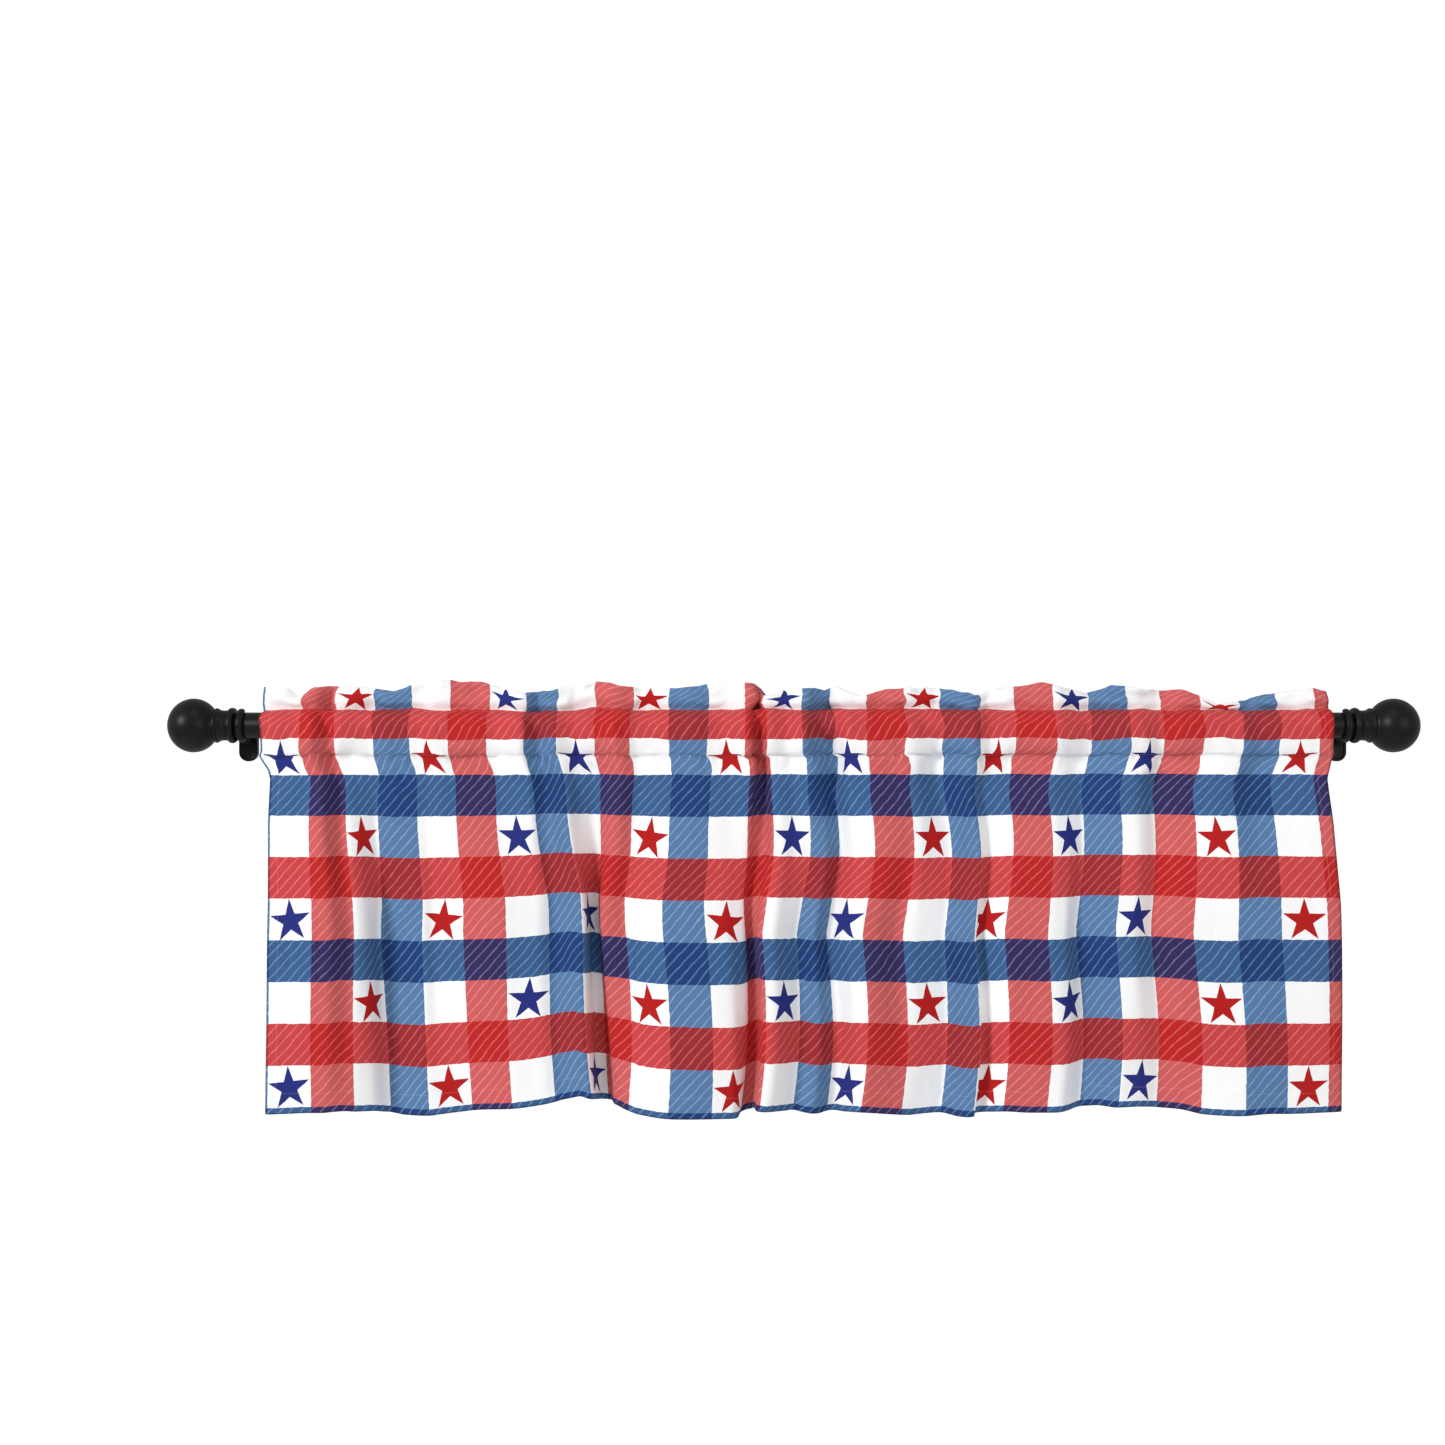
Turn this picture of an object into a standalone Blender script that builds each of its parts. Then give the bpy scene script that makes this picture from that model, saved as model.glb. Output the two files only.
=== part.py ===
"""Window valance with a heading and a rod pocket, hung on a curtain rod with ball finials and two wall brackets.

Metres, +Z up. X runs along the rod, -Y faces the room and the wall is the plane Y = 0.
The origin is the middle of the back of the left wall plate, where it meets the wall.
"""

import math

import bmesh
import bpy
import numpy as np

# Rod and brackets
ROD_RADIUS = 0.014
ROD_TO_WALL = 0.030
BRACKET_SPAN = 1.181
PLATE_WIDTH = 0.020
PLATE_HEIGHT = 0.050
PLATE_THICKNESS = 0.008
PLATE_EDGE, PLATE_EDGE_STEPS = 0.0022, 3
PLATE_STEPS = 10
PLATE_DROP = 0.014
HOOK_WIDTH = 0.0075
HOOK_THICKNESS = 0.0042
HOOK_FROM_DEG = 80.0
HOOK_TO_DEG = 305.0
HOOK_EDGE, HOOK_EDGE_STEPS = 0.0014, 2
HOOK_STEPS = 26
JOIN_TURN = 0.02
STEM_HEIGHT = 0.010
STEM_DROP = 0.016
SEAT_GAP = 0.0003

# Finials: the ball's middle beyond each bracket, and the turned profile from the ball back to the rod's end
BALL_OUT = 0.0515
BALL_RADIUS = 0.0291
RING_AT, RING_LENGTH, RING_RADIUS, RING_RIM = 0.0226, 0.0066, 0.0186, 0.0018
NECK_AT, NECK_REACH, NECK_RADIUS, NECK_FLARE = 0.0302, 0.0039, 0.0154, 0.0008
BEAD_AT, BEAD_LENGTH, BEAD_RADIUS, BEAD_RIM = 0.0396, 0.0090, 0.0190, 0.0026
COLLAR_LENGTH, COLLAR_RADIUS = 0.0012, 0.0118
TURN_STEPS, BALL_STEPS, RIM_STEPS = 32, 12, 5
ROD_FACETS = 48

# Cloth: a printed panel of square checks, gathered to less than its own width
CHECK_WIDTH = 0.0467
FIRST_CHECK, LAST_CHECK = -0.05, 29.35
SHEET = 0.0015
LAYER_GAP = 0.0010
TOP_STITCH = 0.0160
LOW_STITCH = -0.0315
PANEL = 0.374
PANEL_MIDDLE = 0.187
STITCH_EASE = 0.4
HEADING = 0.0290
HEADING_LEAN, HEADING_DIP, LEAN_POWER = 0.009, 0.018, 1.5
TAIL = 0.0055
GATHER_HIGH = 0.016
GATHER_CENTRING = 0.8
BACK_GATHER = 0.6
COLUMNS = 92
PANEL_ROWS, PANEL_FINE = 10, 4
ARC_ROWS = 2
HEADING_STEPS = (0.3, 0.62, 0.9)

MM = 0.001

# The cloth's side edges: distance below the lower stitch, left edge and right edge, in mm
SIDE_EDGES = np.array([
    (0, 23, 1163),
    (25, 35, 1153),
    (72, 36, 1157),
    (157, 36, 1169),
    (244, 37, 1170),
    (374, 37, 1168),
])

# Gathers over the rod: place along the cloth in checks, and height in mm, a row for each valley or ridge
GATHERS = np.array([
    (-0.3, 3), (0.8, 6), (1.2, 12), (1.65, 0), (2.15, 10), (2.9, 4), (4.2, 7), (5.9, 3),
    (6.3, 0), (6.75, 12), (7.1, 14), (7.55, 0), (8.0, 13), (8.4, 0), (9.1, 4), (9.6, 15),
    (10.2, 4), (11.6, 8), (12.5, 4), (13.1, 13), (13.6, 0), (14.1, 9), (14.6, 4), (15.0, 15),
    (15.45, 0), (15.9, 15), (16.5, 4), (18.2, 6), (19.0, 0), (19.5, 16), (20.05, 3), (21.2, 8),
    (22.0, 2), (22.45, 12), (23.0, 12), (23.5, 0), (24.0, 10), (25.3, 7), (27.0, 6), (27.5, 0),
    (28.1, 5), (29.5, 4),
])

# Folds at half the drop: place along the cloth in checks, and distance in front of the rod's axis in mm
MIDDLE_FOLDS = np.array([
    (-0.3, 34), (1.0, 34), (1.9, 14), (3.0, 52), (3.4, 60), (4.0, 46), (5.0, 32), (6.0, 24),
    (7.0, 12), (7.55, -14), (8.0, 4), (8.35, -20), (9.0, 6), (10.0, 42), (10.8, 56), (11.8, 58),
    (12.5, 46), (13.0, 34), (13.55, 0), (14.0, 16), (14.6, 38), (15.4, 12), (16.0, 38), (16.4, 44),
    (17.0, 20), (17.5, 10), (18.0, 28), (19.0, 30), (19.6, 58), (20.0, 48), (20.5, 16), (21.0, 22),
    (21.5, 32), (22.3, 46), (23.0, 18), (23.6, -6), (24.0, 2), (25.0, 20), (26.0, 34), (27.0, 36),
    (28.0, 28), (29.5, 12),
])

# Folds at the hem, in the same two columns
HEM_FOLDS = np.array([
    (-0.3, 44), (1.0, 44), (2.0, 32), (3.3, 72), (4.0, 56), (5.0, 42), (6.0, 30), (7.0, 16),
    (7.8, -14), (8.1, -16), (9.0, 22), (10.0, 64), (10.7, 76), (11.6, 76), (12.0, 66), (13.0, 32),
    (13.55, 2), (14.0, 16), (15.0, 46), (15.4, 48), (16.0, 70), (17.0, 36), (17.5, 28), (18.0, 40),
    (19.0, 46), (19.55, 72), (20.0, 58), (20.5, 30), (21.0, 32), (22.3, 44), (23.0, 24), (23.8, -2),
    (24.2, -2), (25.0, 14), (26.0, 24), (27.0, 26), (28.0, 22), (29.5, 8),
])

# Top of the heading: place along the cloth in checks, and height above the rod's axis in mm
HEADING_TOP = np.array([
    (-0.3, 39), (0.3, 42), (0.75, 33), (1.3, 42), (2.4, 43), (3.5, 39), (4.3, 47), (5.9, 49),
    (6.7, 32), (7.3, 38), (9.3, 47), (10.1, 37), (11.2, 43), (13.2, 47), (13.9, 37), (14.7, 45),
    (16.2, 43), (16.8, 29), (17.7, 43), (18.9, 36), (19.2, 40), (19.7, 33), (20.5, 39), (21.6, 46),
    (22.8, 34), (23.7, 43), (25.8, 39), (26.6, 28), (27.2, 29), (28.6, 40), (29.5, 38),
])

ROUNDING = 0.25
STEEPEST = 0.97
FINE_STEPS = 16

ROD_Y = -ROD_TO_WALL
ROD_Z = PLATE_DROP
FACET_ANGLE = math.radians(24.0)
CLOTH_RADIUS = (ROD_RADIUS + SEAT_GAP) / math.cos(FACET_ANGLE) + SHEET / 2
HALF_FOLD = (SHEET + LAYER_GAP) / 2


def clear_scene():
    for item in list(bpy.data.objects):
        bpy.data.objects.remove(item, do_unlink=True)


def make_material(name, colour, roughness, metallic):
    material = bpy.data.materials.new(name)
    material.use_nodes = True
    shader = material.node_tree.nodes["Principled BSDF"]
    shader.inputs["Base Color"].default_value = (*colour, 1.0)
    shader.inputs["Roughness"].default_value = roughness
    shader.inputs["Metallic"].default_value = metallic
    return material


def add_part(collection, name, mesh, material):
    part = bpy.data.objects.new(name, mesh)
    mesh.materials.clear()
    mesh.materials.append(material)
    collection.objects.link(part)
    return part


def shade_round(mesh, angle_deg=35.0):
    mesh.shade_smooth()
    mesh.set_sharp_from_angle(angle=math.radians(angle_deg))


def ease(share):
    share = np.clip(share, 0.0, 1.0)
    return share * share * (3.0 - 2.0 * share)


def rounded(places, table):
    """Reads a table of ridges and valleys along the cloth, with its corners rounded by a moving average."""
    offsets = np.linspace(-0.98, 0.98, 9)
    weights = 1.0 + np.cos(math.pi * offsets)
    total = sum(
        weight * np.interp(places + ROUNDING * offset, table[:, 0], table[:, 1])
        for weight, offset in zip(weights, offsets)
    )
    return total / weights.sum() * MM


def stitched_wave(places):
    """Where the two stitched layers lie in front of the rod's axis, ridge by ridge."""
    low = -BACK_GATHER * GATHER_HIGH / 2
    return low + GATHER_CENTRING * rounded(places, GATHERS)


def panel_forward(places, below):
    """Distance of the hanging panel in front of the rod's axis, at a path length below the lower stitch."""
    middle = rounded(places, MIDDLE_FOLDS)
    if below <= PANEL_MIDDLE:
        share = below / PANEL_MIDDLE
        share += STITCH_EASE * (ease(share) - share)
        return stitched_wave(places) * (1.0 - share) + middle * share
    share = (below - PANEL_MIDDLE) / (PANEL - PANEL_MIDDLE)
    return middle * (1.0 - share) + rounded(places, HEM_FOLDS) * share


def spread_across(places, forward, below):
    """Distance along the rod of each place: the path's shadow, scaled to the hung width at that height."""
    left, right = (np.interp(below / MM, SIDE_EDGES[:, 0], SIDE_EDGES[:, side]) * MM for side in (1, 2))
    steps = np.diff(places) * CHECK_WIDTH
    slopes = np.clip(np.diff(forward) / steps, -STEEPEST, STEEPEST)
    shadow = np.concatenate([[0.0], np.cumsum(steps * np.sqrt(1.0 - slopes**2))])
    return left + shadow * (right - left) / shadow[-1]


def rest_on_rod(forward, height):
    """Moves points that would lie inside the rod out to its surface."""
    reach = np.hypot(forward, height)
    out = np.maximum(reach, CLOTH_RADIUS) / np.maximum(reach, MM)
    return forward * out, height * out


class ClothSheet:
    """The valance's one sheet, row by row from the hem up the front, over the heading and down behind the rod."""

    def __init__(self, columns, fine=FINE_STEPS):
        count = (columns - 1) * fine + 1
        self.fine = np.linspace(FIRST_CHECK, LAST_CHECK, count)
        self.pick = slice(None, None, fine)
        self.places = self.fine[self.pick]
        self.wave = stitched_wave(self.places)
        self.across = spread_across(self.fine, stitched_wave(self.fine), 0.0)[self.pick]
        self.rows = []

    def add(self, across, forward, height):
        self.rows.append(np.stack([across, ROD_Y - forward, ROD_Z + height + 0.0 * across], axis=1))

    def add_layer(self, centre, height, side):
        """One row of a stitched double layer, set off from its middle along the wave's own normal."""
        tilt = np.arctan2(np.gradient(centre), np.gradient(self.across))
        offset = side * HALF_FOLD
        self.add(self.across - offset * np.sin(tilt), centre + offset * np.cos(tilt), height)

    def add_panel(self):
        belows = np.linspace(0.0, PANEL, PANEL_ROWS * PANEL_FINE + 1)
        forwards = np.array([panel_forward(self.fine, below) for below in belows])
        forwards[0] += HALF_FOLD
        steps = np.diff(belows)[:, None]
        slopes = np.clip(np.diff(forwards, axis=0) / steps, -STEEPEST, STEEPEST)
        drops = np.concatenate([[0.0 * self.fine], np.cumsum(steps * np.sqrt(1.0 - slopes**2), axis=0)])
        for index in range(len(belows) - 1, 0, -PANEL_FINE):
            across = spread_across(self.fine, forwards[index], belows[index])
            self.add(across[self.pick], forwards[index][self.pick], LOW_STITCH - drops[index][self.pick])
        self.add_layer(self.wave, LOW_STITCH, 1.0)

    def add_pocket(self, side):
        """One side of the rod pocket, from the lower stitch to the top one in front, and back down behind."""
        gathers = rounded(self.places, GATHERS)
        bulge = gathers if side > 0 else BACK_GATHER * (GATHER_HIGH - gathers)
        centre = self.wave + side * HALF_FOLD
        reach = side * (CLOTH_RADIUS + bulge) - centre
        turns = np.linspace(-90.0, 90.0, 2 * ARC_ROWS + 3)[1:-1]
        for turn in turns if side > 0 else turns[::-1]:
            angle = math.radians(turn)
            depth = TOP_STITCH if turn > 0 else -LOW_STITCH
            forward, height = rest_on_rod(centre + reach * math.cos(angle), depth * math.sin(angle))
            self.add(self.across, forward, height)

    def add_heading(self):
        """Both layers of the heading, joined by its top fold; where the top dips, the cloth leans forward."""
        top = rounded(self.places, HEADING_TOP)
        rise = top - TOP_STITCH
        lean = HEADING_LEAN * ease((HEADING - rise) / HEADING_DIP)
        self.add_layer(self.wave, TOP_STITCH, 1.0)
        for share in HEADING_STEPS:
            self.add_layer(self.wave + lean * share**LEAN_POWER, TOP_STITCH + rise * share, 1.0)
        self.add(self.across, self.wave + lean, top)
        for share in reversed(HEADING_STEPS):
            self.add_layer(self.wave + lean * share**LEAN_POWER, TOP_STITCH + rise * share, -1.0)
        self.add_layer(self.wave, TOP_STITCH, -1.0)

    def add_tail(self):
        """The pocket's back layer ends just under the lower stitch."""
        self.add_layer(self.wave, LOW_STITCH, -1.0)
        self.add_layer(self.wave, LOW_STITCH - TAIL, -1.0)

    def build(self):
        self.add_panel()
        self.add_pocket(1.0)
        self.add_heading()
        self.add_pocket(-1.0)
        self.add_tail()
        return np.array(self.rows)


def make_valance(collection, material):
    """One sheet from the hem up the front, round the rod and over the heading, and down behind the rod."""
    rows = ClothSheet(COLUMNS).build()
    bm = bmesh.new()
    bmesh.ops.create_grid(bm, x_segments=COLUMNS - 1, y_segments=len(rows) - 1, size=0.5)
    for vert in bm.verts:
        column = round((vert.co.x + 0.5) * (COLUMNS - 1))
        row = round((vert.co.y + 0.5) * (len(rows) - 1))
        vert.co = rows[row, column]
    mesh = bpy.data.meshes.new("valance")
    bm.to_mesh(mesh)
    bm.free()
    part = add_part(collection, "valance", mesh, material)
    solid = part.modifiers.new("thickness", "SOLIDIFY")
    solid.thickness = SHEET
    solid.offset = 0.0
    shade_round(mesh, 60.0)
    return part


def make_turned(collection, name, profile, material, steps):
    """Turns a profile of (distance along X, radius) pairs about the X axis through the part's origin."""
    mesh = bpy.data.meshes.new(name)
    bm = bmesh.new()
    verts = [bm.verts.new((along, 0.0, radius)) for along, radius in profile]
    for first, second in zip(verts, verts[1:]):
        bm.edges.new((first, second))
    bmesh.ops.spin(
        bm, geom=bm.verts[:] + bm.edges[:], cent=(0.0, 0.0, 0.0), axis=(1.0, 0.0, 0.0),
        angle=math.tau, steps=steps, use_merge=True,
    )
    bmesh.ops.remove_doubles(bm, verts=bm.verts, dist=1e-5)
    bmesh.ops.recalc_face_normals(bm, faces=bm.faces)
    bm.to_mesh(mesh)
    bm.free()
    shade_round(mesh)
    return add_part(collection, name, mesh, material)


def rod_end():
    """Distance from a bracket's middle out to the end of the rod."""
    return BALL_OUT - BEAD_AT - BEAD_LENGTH / 2 - COLLAR_LENGTH - SEAT_GAP


def make_rod(collection, material):
    half = BRACKET_SPAN / 2 + rod_end()
    bpy.ops.mesh.primitive_cylinder_add(
        vertices=ROD_FACETS, radius=ROD_RADIUS, depth=2 * half, rotation=(0.0, math.pi / 2, 0.0)
    )
    rod = bpy.context.object
    bpy.ops.object.transform_apply(location=False, rotation=True, scale=False)
    rod.name = rod.data.name = "rod"
    rod.location = (BRACKET_SPAN / 2, ROD_Y, ROD_Z)
    rod.data.materials.append(material)
    for owner in list(rod.users_collection):
        owner.objects.unlink(rod)
    collection.objects.link(rod)
    shade_round(rod.data)
    return rod


def rounded_band(at, length, radius, rim):
    """Profile points of a band with a half-round rim, from its side away from the rod to its near side."""
    points = []
    for step in range(RIM_STEPS + 1):
        turn = math.pi * step / RIM_STEPS
        points.append((at - length / 2 * math.cos(turn), radius - rim + rim * math.sin(turn)))
    return points


def finial_profile():
    """Distance back from the ball's middle and radius, from the ball's tip to the collar at the rod."""
    ring_start = RING_AT - RING_LENGTH / 2
    last_turn = math.acos(ring_start / BALL_RADIUS)
    points = [(-BALL_RADIUS, 0.0)]
    for step in range(1, BALL_STEPS + 1):
        turn = math.pi + (last_turn - math.pi) * step / BALL_STEPS
        points.append((BALL_RADIUS * math.cos(turn), BALL_RADIUS * math.sin(turn)))
    points += rounded_band(RING_AT, RING_LENGTH, RING_RADIUS, RING_RIM)
    points += [
        (NECK_AT - NECK_REACH, NECK_RADIUS + NECK_FLARE),
        (NECK_AT, NECK_RADIUS),
        (NECK_AT + NECK_REACH, NECK_RADIUS + NECK_FLARE),
    ]
    points += rounded_band(BEAD_AT, BEAD_LENGTH, BEAD_RADIUS, BEAD_RIM)
    collar = BEAD_AT + BEAD_LENGTH / 2
    points += [(collar, COLLAR_RADIUS), (collar + COLLAR_LENGTH, COLLAR_RADIUS), (collar + COLLAR_LENGTH, 0.0)]
    return points


def make_finial(collection, side, material):
    """side is -1 for the left finial and +1 for the right one."""
    name = "finial_left" if side < 0 else "finial_right"
    profile = [(-side * back, radius) for back, radius in finial_profile()]
    finial = make_turned(collection, name, profile, material, TURN_STEPS)
    bracket_x = 0.0 if side < 0 else BRACKET_SPAN
    finial.location = (bracket_x + side * BALL_OUT, ROD_Y, ROD_Z)
    return finial


def stadium(width, height):
    """Outline of a plate with fully round ends, as (across, up) pairs."""
    radius = width / 2
    straight = height / 2 - radius
    points = []
    for end in (1.0, -1.0):
        for step in range(PLATE_STEPS + 1):
            turn = math.pi * step / PLATE_STEPS + (0.0 if end > 0 else math.pi)
            points.append((radius * math.cos(turn), end * straight + radius * math.sin(turn)))
    return points


def extruded(name, outline, place, depth_vector):
    """A closed mesh from a flat outline of 3-D points, pushed along a vector."""
    bm = bmesh.new()
    face = bm.faces.new([bm.verts.new(place(*point)) for point in outline])
    pushed = bmesh.ops.extrude_face_region(bm, geom=[face])
    moved = [item for item in pushed["geom"] if isinstance(item, bmesh.types.BMVert)]
    bmesh.ops.translate(bm, verts=moved, vec=depth_vector)
    bmesh.ops.recalc_face_normals(bm, faces=bm.faces)
    mesh = bpy.data.meshes.new(name)
    bm.to_mesh(mesh)
    bm.free()
    return mesh


def make_plate(collection, name, bracket_x, material):
    """Wall plate: a flat bar with round ends, its back on the wall."""
    mesh = extruded(
        name, stadium(PLATE_WIDTH, PLATE_HEIGHT), lambda across, up: (across, 0.0, up), (0.0, -PLATE_THICKNESS, 0.0)
    )
    plate = add_part(collection, name, mesh, material)
    plate.location = (bracket_x, 0.0, 0.0)
    round_front_edge(mesh)
    shade_round(mesh)
    return plate


def round_front_edge(mesh):
    bm = bmesh.new()
    bm.from_mesh(mesh)
    front = [edge for edge in bm.edges if all(abs(vert.co.y + PLATE_THICKNESS) < 1e-6 for vert in edge.verts)]
    bmesh.ops.bevel(bm, geom=front, offset=PLATE_EDGE, segments=PLATE_EDGE_STEPS, affect="EDGES", profile=0.5)
    bm.to_mesh(mesh)
    bm.free()


def hook_outline():
    """Side view of the hook and its stem, as (forward, up) pairs from the rod's axis."""
    inner = ROD_RADIUS + SEAT_GAP
    outer = inner + HOOK_THICKNESS
    plate_face = -(ROD_TO_WALL - PLATE_THICKNESS - SEAT_GAP)
    first, last = math.radians(HOOK_FROM_DEG), math.radians(HOOK_TO_DEG)
    turns = [first + (last - first) * step / HOOK_STEPS for step in range(HOOK_STEPS + 1)]
    inside = [(inner * math.cos(turn), inner * math.sin(turn)) for turn in turns]
    stem_low, stem_high = -STEM_DROP - STEM_HEIGHT / 2, -STEM_DROP + STEM_HEIGHT / 2
    high_turn = math.pi + math.asin(-stem_high / outer)
    low_turn = 1.5 * math.pi
    before = [turn for turn in turns if turn < high_turn - JOIN_TURN]
    after = [turn for turn in turns if turn > low_turn + JOIN_TURN]
    outside = [(outer * math.cos(turn), outer * math.sin(turn)) for turn in before]
    outside += [(outer * math.cos(high_turn), stem_high), (plate_face, stem_high), (plate_face, stem_low)]
    outside += [(outer * math.cos(turn), outer * math.sin(turn)) for turn in [low_turn, *after]]
    return inside[::-1] + outside


def make_hook(collection, name, bracket_x, material):
    """Open hook that the rod lies in: it wraps the rod's back, and a stem carries it off the wall plate."""
    mesh = extruded(
        name, hook_outline(), lambda forward, up: (-HOOK_WIDTH / 2, -forward, up), (HOOK_WIDTH, 0.0, 0.0)
    )
    hook = add_part(collection, name, mesh, material)
    hook.location = (bracket_x, ROD_Y, ROD_Z)
    bevel = hook.modifiers.new("edges", "BEVEL")
    bevel.width = HOOK_EDGE
    bevel.segments = HOOK_EDGE_STEPS
    bevel.limit_method = "ANGLE"
    bevel.angle_limit = math.radians(50.0)
    shade_round(mesh)
    return hook


def main():
    clear_scene()
    collection = bpy.data.collections.new("window_valance_on_rod")
    bpy.context.scene.collection.children.link(collection)
    cloth = make_material("printed_cotton", (0.62, 0.30, 0.34), 0.85, 0.0)
    black = make_material("black_metal", (0.02, 0.02, 0.02), 0.42, 0.6)
    make_valance(collection, cloth)
    make_rod(collection, black)
    for side, word, bracket_x in ((-1, "left", 0.0), (1, "right", BRACKET_SPAN)):
        make_finial(collection, side, black)
        make_plate(collection, f"wall_plate_{word}", bracket_x, black)
        make_hook(collection, f"rod_hook_{word}", bracket_x, black)


main()
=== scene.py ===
"""Looks of a gathered window valance, hung by its rod pocket on a curtain rod with ball ends and wall brackets.

Metres, +Z up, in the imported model's frame: X runs along the rod, -Y faces the room and the wall is Y = 0.
"""

import logging
import math
from contextlib import contextmanager
from dataclasses import dataclass
from enum import Enum
from typing import Any, Callable, Iterator, Sequence

import bmesh
import bpy
import numpy as np
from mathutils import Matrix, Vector


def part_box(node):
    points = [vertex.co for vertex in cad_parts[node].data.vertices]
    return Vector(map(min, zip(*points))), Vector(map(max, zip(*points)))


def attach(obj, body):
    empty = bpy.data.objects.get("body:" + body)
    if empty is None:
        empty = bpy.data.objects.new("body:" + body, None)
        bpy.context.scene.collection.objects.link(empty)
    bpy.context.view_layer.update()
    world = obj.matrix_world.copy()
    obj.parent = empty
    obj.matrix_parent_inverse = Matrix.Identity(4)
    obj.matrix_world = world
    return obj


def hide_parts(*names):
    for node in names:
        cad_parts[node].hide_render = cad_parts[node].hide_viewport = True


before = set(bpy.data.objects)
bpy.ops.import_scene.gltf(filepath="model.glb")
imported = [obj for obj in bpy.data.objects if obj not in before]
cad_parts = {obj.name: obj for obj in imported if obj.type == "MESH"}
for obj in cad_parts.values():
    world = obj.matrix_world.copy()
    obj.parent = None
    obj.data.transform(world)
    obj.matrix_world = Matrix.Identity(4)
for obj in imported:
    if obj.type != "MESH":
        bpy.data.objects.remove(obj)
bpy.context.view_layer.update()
MM = 0.001
log = logging.getLogger("valance_looks")


class Slot(Enum):
    """The record's material slots."""

    COTTON = "printed_cotton"
    METAL = "black_metal"


class Side(Enum):
    """Which end of the rod a piece is at, with its sign along X."""

    LEFT = -1
    RIGHT = 1

    @property
    def word(self) -> str:
        """The side as a node's name spells it."""
        return self.name.lower()


@dataclass(frozen=True)
class RodLine:
    """The rod's axis, ends and radius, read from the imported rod."""

    left: float
    right: float
    y: float
    z: float
    radius: float

    @classmethod
    def from_frame(cls) -> "RodLine":
        """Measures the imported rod's box."""
        low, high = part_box("rod")
        return cls(low[0], high[0], (low[1] + high[1]) / 2, (low[2] + high[2]) / 2, (high[2] - low[2]) / 2)

    def end(self, side: Side) -> float:
        """X of the rod's end at a side."""
        return self.left if side is Side.LEFT else self.right


class Bench:
    """Where hard pieces are modelled: one object at a time, selected and in the wanted mode."""

    @staticmethod
    def clear() -> None:
        """Deselects everything, because an operator acts on all that is selected."""
        active = bpy.context.view_layer.objects.active
        if active is not None and active.mode != "OBJECT":
            bpy.ops.object.mode_set(mode="OBJECT")
        bpy.ops.object.select_all(action="DESELECT")

    @staticmethod
    def take(piece: bpy.types.Object) -> None:
        """Makes a piece the only one selected, and the active one."""
        Bench.clear()
        piece.select_set(True)
        bpy.context.view_layer.objects.active = piece

    @staticmethod
    def named(name: str) -> bpy.types.Object:
        """Names the primitive that was just added and applies its place.

        Args:
            name: The piece's name.

        Returns:
            The primitive's object, at the origin, with its place in its mesh.
        """
        piece = bpy.context.object
        piece.name = name
        piece.data.name = name
        bpy.ops.object.transform_apply(location=True, rotation=True, scale=True)
        return piece

    @staticmethod
    @contextmanager
    def editing(piece: bpy.types.Object) -> Iterator[None]:
        """Opens a piece in edit mode with nothing selected, and closes it again."""
        Bench.take(piece)
        bpy.ops.object.mode_set(mode="EDIT")
        bpy.ops.mesh.select_all(action="DESELECT")
        yield
        bpy.ops.object.mode_set(mode="OBJECT")

    @staticmethod
    def pick(piece: bpy.types.Object, kind: str, test: Callable[[Vector], bool]) -> None:
        """Selects the open piece's elements by their place.

        Args:
            piece: The piece in edit mode.
            kind: VERT, EDGE or FACE.
            test: Says whether an element is wanted, from its middle.
        """
        bpy.ops.mesh.select_mode(type=kind)
        bpy.ops.mesh.select_all(action="DESELECT")
        mesh = bmesh.from_edit_mesh(piece.data)
        if kind == "VERT":
            chosen = [vert for vert in mesh.verts if test(vert.co)]
        elif kind == "EDGE":
            chosen = [edge for edge in mesh.edges if test((edge.verts[0].co + edge.verts[1].co) / 2)]
        else:
            chosen = [face for face in mesh.faces if test(face.calc_center_median())]
        for element in chosen:
            element.select_set(True)
        mesh.select_flush_mode()
        bmesh.update_edit_mesh(piece.data)

    @staticmethod
    def close_up(piece: bpy.types.Object) -> None:
        """Merges doubled vertices and turns all faces outwards."""
        with Bench.editing(piece):
            bpy.ops.mesh.select_all(action="SELECT")
            bpy.ops.mesh.remove_doubles(threshold=1e-6)
            bpy.ops.mesh.normals_make_consistent(inside=False)

    @staticmethod
    def soften(piece: bpy.types.Object, width: float, steps: int, degrees: float) -> None:
        """Rounds the edges sharper than an angle with an applied Bevel."""
        Bench.take(piece)
        bevel = piece.modifiers.new("soft edges", "BEVEL")
        bevel.width = width
        bevel.segments = steps
        bevel.limit_method = "ANGLE"
        bevel.angle_limit = math.radians(degrees)
        bpy.ops.object.modifier_apply(modifier=bevel.name)

    @staticmethod
    def smooth(piece: bpy.types.Object, degrees: float) -> None:
        """Shades a piece smooth but for edges sharper than an angle."""
        Bench.take(piece)
        bpy.ops.object.shade_smooth_by_angle(angle=math.radians(degrees))

    @staticmethod
    def join(pieces: Sequence[bpy.types.Object]) -> bpy.types.Object:
        """Joins pieces into the first one."""
        Bench.take(pieces[0])
        for piece in pieces[1:]:
            piece.select_set(True)
        bpy.ops.object.join()
        return pieces[0]


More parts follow.
